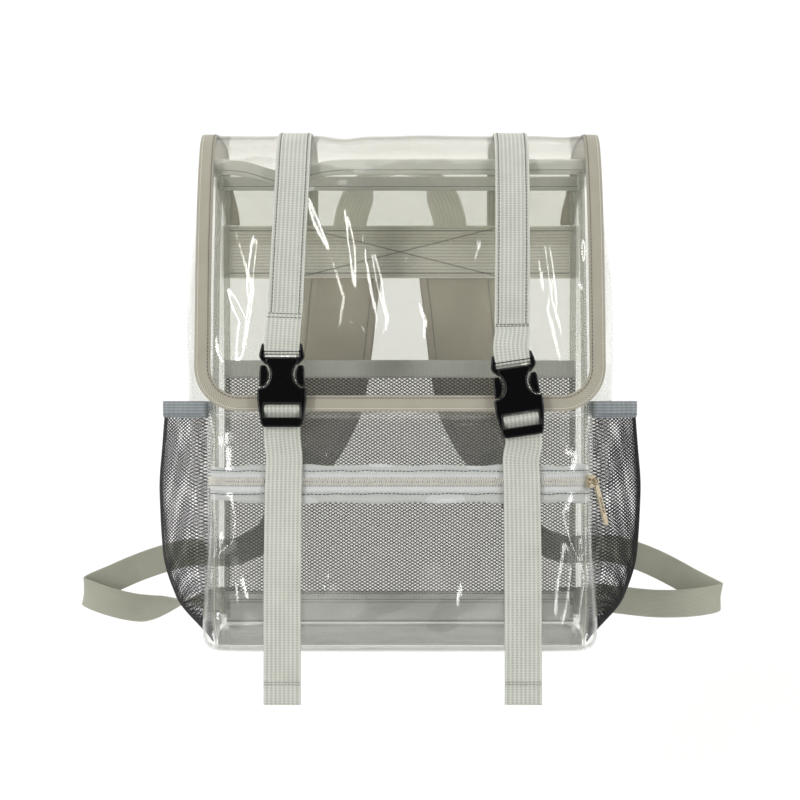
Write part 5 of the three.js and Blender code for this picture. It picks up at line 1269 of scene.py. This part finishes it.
# %% Padded shoulder straps
pad_rows = [
    (49.9, 65, 357, 68.6, 2.9), (50.6, 65, 344, 69.2, 3.1), (51.4, 65, 328.8, 69.9, 3.3),
    (52.7, 65.6, 313.6, 70, 4), (55.1, 70.9, 296.2, 70, 6.4), (57.4, 77.3, 276.7, 70, 6.8),
    (59.7, 83.8, 257.2, 70, 7), (62.3, 87.7, 237.6, 69.9, 7), (65.2, 90.3, 218.1, 69.3, 7),
    (69.1, 90.8, 198.6, 67.8, 7), (74.3, 89.5, 181.2, 62.9, 6.8), (79.6, 87.9, 166, 57, 6.5),
    (85.3, 86.1, 153, 49.2, 5.5), (89.4, 84.9, 144.3, 40.4, 4.3), (91.5, 84.2, 140, 35, 3.5)]


def pad_grid(side):
    line = resampled([(side * x, y, z, width, thick, 0) for x, y, z, width, thick in pad_rows], 3.0)
    at, width, thick = line[:, :3], line[:, 3], line[:, 4]
    run = unit(np.gradient(at, axis=0))
    across = unit(np.array([1.0, 0, 0]) - run * run[:, :1])
    out = np.cross(across, run)
    out *= np.sign(out[:, 1:2])
    return at, across, out, width, thick


def shoulder_pad(side, label):
    at, across, out, width, thick = pad_grid(side)
    u = spaced(25, -1, 1)
    down = spaced(len(at))
    ends = 0.25 + 0.75 * ease(0, 0.05, down) * (1 - ease(0.9, 1, down))
    swell = np.sqrt(np.maximum(1 - np.abs(u) ** 4, 0)) - 0.25 * np.exp(-((np.abs(u) - 0.84) / 0.05) ** 2)
    top = 0.9 + (thick[:, None] - 1) * swell[None, :] * ends[:, None]
    grid = at[:, None] + across[:, None] * (u[None, :] * (width / 2 - 0.6)[:, None])[..., None]
    upper = grid + out[:, None] * top[..., None]
    lower = grid + out[:, None] * (0.35 * swell[None, :, None] - 0.1)
    made = shell(f"{label}_pad_cloth", upper, lower, pad_face, "pad_cloth",
                 replaces=[f"{label}_shoulder_pad"])
    for edge in (-1, 1):
        line = at + across * (edge * (width / 2 - 3.2))[:, None] + out * 0.9
        ribbon(f"{label}_pad_edge_{'inner' if edge * side < 0 else 'outer'}",
               np.concatenate([line, across], axis=1).tolist(), 6.0, 1.6, pad_trim, "pad_cloth", spacing=4)
    return made


left_pad, right_pad = shoulder_pad(-1, "left"), shoulder_pad(1, "right")
print("pads:", len(left_pad.data.polygons), len(right_pad.data.polygons), "faces")

# %% [markdown]
# ## Seams
# Every edge is sewn with a lock stitch about 3 mm long. A seam is a line of points a hair above the
# cloth, and the stitch tree lays its threads along it. Sewing thread is 0.3 mm thick; it is drawn
# 0.5 to 0.8 mm thick, because a finer one wouldn't show in the render.

# %% Seams of the tapes, straps and zip
def on_ribbon(stations, offset, lift, start=0.0, stop=1.0):
    """A line along a strap, offset from its middle, from one share of its length to another."""
    at, across, face = strap_frames(stations, 2.0)
    picked = slice(int(start * len(at)), int(stop * len(at)))
    return (at + across * offset + face * lift)[picked]


def cross_line(stations, share, half, lift):
    at, across, face = strap_frames(stations, 2.0)
    i = int(share * (len(at) - 1))
    return np.array([at[i] + across[i] * t + face[i] * lift for t in spaced(9, -half, half)])


def band_face(x, z):
    return (x, BAND_PLACE - 0.95, z)


seam_edge = flap_edge()
sewn("flap_tape_seam", [[place(10.2, 1.5) for place in flap_places(seam_edge)]], thread_dark,
     pitch=3.2, long=2.1, radius=0.36)
sewn("flap_tape_edge_seam", [[place(1.6, 1.38) for place in flap_places(seam_edge)]], thread_pale,
     long=2.3, radius=0.2)
sewn("mouth_tape_seam", [[place(8.4, 1.42) for place in mouth_places()],
                         [place(8.4, -1.42) for place in mouth_places()]], thread_dark)
band_rails = [[band_face(x, BAND_HEIGHT + rise) for x in spaced(80, -158, 158)] for rise in (-19.5, 19.5)]
box = (((-88, 317), (88, 361)), ((-88, 361), (88, 317)), ((-88, 317), (-88, 361)), ((88, 317), (88, 361)))
band_cross = [[band_face(*(np.array(a) * (1 - t) + np.array(b) * t)) for t in spaced(30)] for a, b in box]
sewn("wide_band_seams", band_rails + band_cross, thread_dark, radius=0.42)
for label, (upper, lower) in front_straps.items():
    sewn(f"{label}_upper_strap_seams",
         [on_ribbon(upper, side * 11.2, 0.82, 0.3, 0.86) for side in (-1, 1)]
         + [cross_line(upper, share, 12.5, 0.85) for share in (0.865, 0.872)], thread_dark,
         pitch=3.1, long=2.1, radius=0.42)
    for end, lift in (("seam", -0.85), ("front", 0.85)):
        sewn(f"{label}_tail_hem_{end}", [cross_line(lower, share, 13.5, lift) for share in (0.962, 0.966)],
             thread_grey)
zip_u = spaced(260, -0.96, 0.96)


def zip_seam(z, wander, seed):
    level = z + wobble(len(zip_u), wander, seed)
    return pocket_face(zip_u, level) + np.array([0, -0.35, 0])


for name, rise, wander, seed, thread in (("zip_upper_seams", 8.6, 0.5, 3, thread_teal),
                                         ("zip_lower_seams", -9.6, 0.6, 5, thread_dark)):
    sewn(name, [zip_seam(ZIP + rise, wander, seed)], thread, pitch=3.3, long=2.2, radius=0.42)
# Grey stitches along the coils' outer edges: partly the coil's sewing thread, partly painted shade for the dark
# gaps between its turns.
coil_thread_and_gap_shade = [pocket_face(zip_u, np.full(len(zip_u), ZIP + rise)) + np.array([0, -1.25, 0])
             for rise in (-3.2, 3.2)]
sewn("zip_coil_seams_and_gap_shade", coil_thread_and_gap_shade, thread_grey, pitch=2.4, long=1.0, radius=0.4)
pocket_seam_u = spaced(200, -0.94, 0.94)
pocket_top = pocket_face(pocket_seam_u, np.full(200, 190.4)) + np.array([0, -0.35, 0])
sewn("pocket_top_seam", [pocket_top], thread_grey,
     long=1.8, radius=0.3)
for side, label in SIDES:
    at, across, out, width, thick = pad_grid(side)
    sewn(f"{label}_pad_seams", [at + across * (edge * (width / 2 - 7.5))[:, None] - out * 0.75 for edge in (-1, 1)],
         thread_dark)
    edge_v = spaced(120, 0.02, 0.98)
    low_hem = side_net_face(side, edge_v, np.full(120, 191.5)) + np.array([side * 1.4, 0, 0])
    sewn(f"{label}_side_hem_seam", [low_hem], thread_teal, radius=0.28)
print("seams made:", len([o for o in bpy.data.objects if "seam" in o.name]))

# %% Welded corner seams and foot strip
corner_z = spaced(60, 6, 396)


def corner_line(side, inset):
    body = at_height(corner_z)
    x = side * (body["front"] - inset)
    return np.stack([x, front_face(x, corner_z) - 0.9, corner_z], -1)


for side, label in SIDES:
    ribbon(f"{label}_front_corner_strip", corner_line(side, 3.0).tolist(), 5.0, 0.5, film_seam, "clear_pvc",
           spacing=5)
    sewn(f"{label}_front_corner_seam", [corner_line(side, 1.6) + np.array([0, -0.4, 0])], thread_pale,
         long=2.1, radius=0.3)
    rear = np.stack([np.full(60, side * 157.5), at_height(corner_z)["y_back"] - 1.4, corner_z], -1)
    ribbon(f"{label}_rear_corner_strip", rear.tolist(), 6.0, 0.5, film_seam, "clear_pvc", spacing=5)
foot_rows, foot_u = np.meshgrid(spaced(8, 1.5, 30), spaced(60, -1, 1), indexing="ij")
foot = np.stack([foot_u * 158, at_height(foot_rows)["y_back"] - 1.3 + 0.25 * np.sin(9 * foot_u + foot_rows / 4),
                 foot_rows], -1)
shell("foot_strip", foot, foot + np.array([0, 0.6, 0]), foot_cloth, "binding_tape")
sewn("foot_strip_seams", [[(x, at_height(z)["y_back"] - 2.0, z) for x in spaced(90, -156, 156)]
                          for z in (3.5, 20.0, 22.5, 28.0)], thread_dark)
print("corner strips and foot strip made")

# %% [markdown]
# ## Buckles
# Each side-release buckle is two mouldings. The plug has two ears, the bar that the webbing turns
# round, and two sprung arms that show at the sides; the socket has curved side openings, a wide body
# and a ladder slot. Their outlines, in millimetres from the buckle's middle, are filled and bevelled.

# %% Moulded buckles
def both_sides(half):
    return half + [(-x, z) for x, z in reversed(half)]


plug_outline = both_sides([(0.0, 28.6), (14.2, 28.6), (14.7, 33.2), (15.4, 34.0), (16.4, 32.4), (17.6, 28.0),
                           (18.3, 24.4), (18.1, 22.4), (16.9, 20.2), (14.4, 17.9), (13.2, 16.6), (0.0, 16.6)][1:-1])
plug_slot = both_sides([(13.6, 26.3), (13.9, 25.9), (13.9, 23.1), (13.5, 22.7)])
arm_outline = [(13.2, 15.9), (16.4, 16.2), (17.6, 15.2), (18.1, 12.0), (18.3, 4.0), (18.5, -1.0), (14.6, -1.0),
               (12.6, 1.6), (11.0, 5.0), (10.5, 8.7), (11.2, 12.4)]
socket_side = [(11.6, 22.2), (13.6, 20.8), (13.3, 18.4), (11.4, 16.2), (9.6, 12.8), (9.0, 8.7), (9.7, 4.6),
               (11.6, 0.8), (14.6, -1.9), (19.0, -2.3), (19.7, -4.0), (19.7, -13.0), (18.9, -19.0), (17.8, -26.0),
               (16.9, -31.0), (15.4, -33.4), (13.6, -34.0)]
socket_outline = both_sides(socket_side)
ladder_slot = both_sides([(14.2, -15.0), (14.8, -15.6), (14.8, -25.6), (14.4, -26.0)])


def moulded(name, loops, thick, bevel, row, forward=0.0, **more):
    """One flat moulding: outlines and holes filled, thickened and bevelled, hung at its strap."""
    curve = bpy.data.curves.new(name, "CURVE")
    curve.dimensions = "2D"
    curve.fill_mode = "BOTH"
    curve.extrude = thick / 2 - bevel
    curve.bevel_depth = bevel
    curve.bevel_resolution = 3
    curve.offset = -bevel
    for loop in loops:
        line = curve.splines.new("POLY")
        line.points.add(len(loop) - 1)
        line.points.foreach_set("co", [c for x, z in loop for c in (x, z, 0, 1)])
        line.use_cyclic_u = True
    drawn = bpy.data.objects.new(name + "_outline", curve)
    flat = bpy.data.meshes.new_from_object(drawn)
    points = np.empty(len(flat.vertices) * 3)
    flat.vertices.foreach_get("co", points)
    points = points.reshape(-1, 3)
    lean, centre_x, up = row
    turn = math.radians(lean)
    x, z = points[:, 0], points[:, 1]
    hung = np.stack([centre_x + x * math.cos(turn) - z * math.sin(turn), BUCKLE_Y - forward - points[:, 2],
                     up + x * math.sin(turn) + z * math.cos(turn)], -1)
    faces = [tuple(f.vertices) for f in flat.polygons]
    made = piece(name, hung, faces, acetal, "black_plastic", **more)
    bpy.data.objects.remove(drawn)
    made.data.set_sharp_from_angle(angle=math.radians(38))
    return made


BUCKLE_Y = -90.8
buckle_rows = {"left": (0.0, -95.475, 216.0), "right": (8.5, 95.0, 208.44)}
for label, row in buckle_rows.items():
    moulded(f"{label}_buckle_ears", [plug_outline, plug_slot], 6.6, 1.1, row, replaces=[f"{label}_buckle_plug"])
    for side in (-1, 1):
        arm = [(side * x, z) for x, z in arm_outline]
        moulded(f"{label}_buckle_arm_{'left' if side < 0 else 'right'}", [arm], 6.0, 1.0, row, forward=-0.3)
    moulded(f"{label}_buckle_body", [socket_outline, ladder_slot], 8.3, 1.2, row,
            replaces=[f"{label}_buckle_socket"])

# %% Hard pieces carried over
def finish_node(name, finish):
    slots = bpy.data.objects[name].material_slots
    for held in slots:
        held.material = finish


for name in ("left_adjuster", "right_adjuster"):
    finish_node(name, acetal)
finish_node("zip_slider", plated)
finish_node("zip_pull", plated)
print("buckles, ladder locks, slider and pull have their finish")
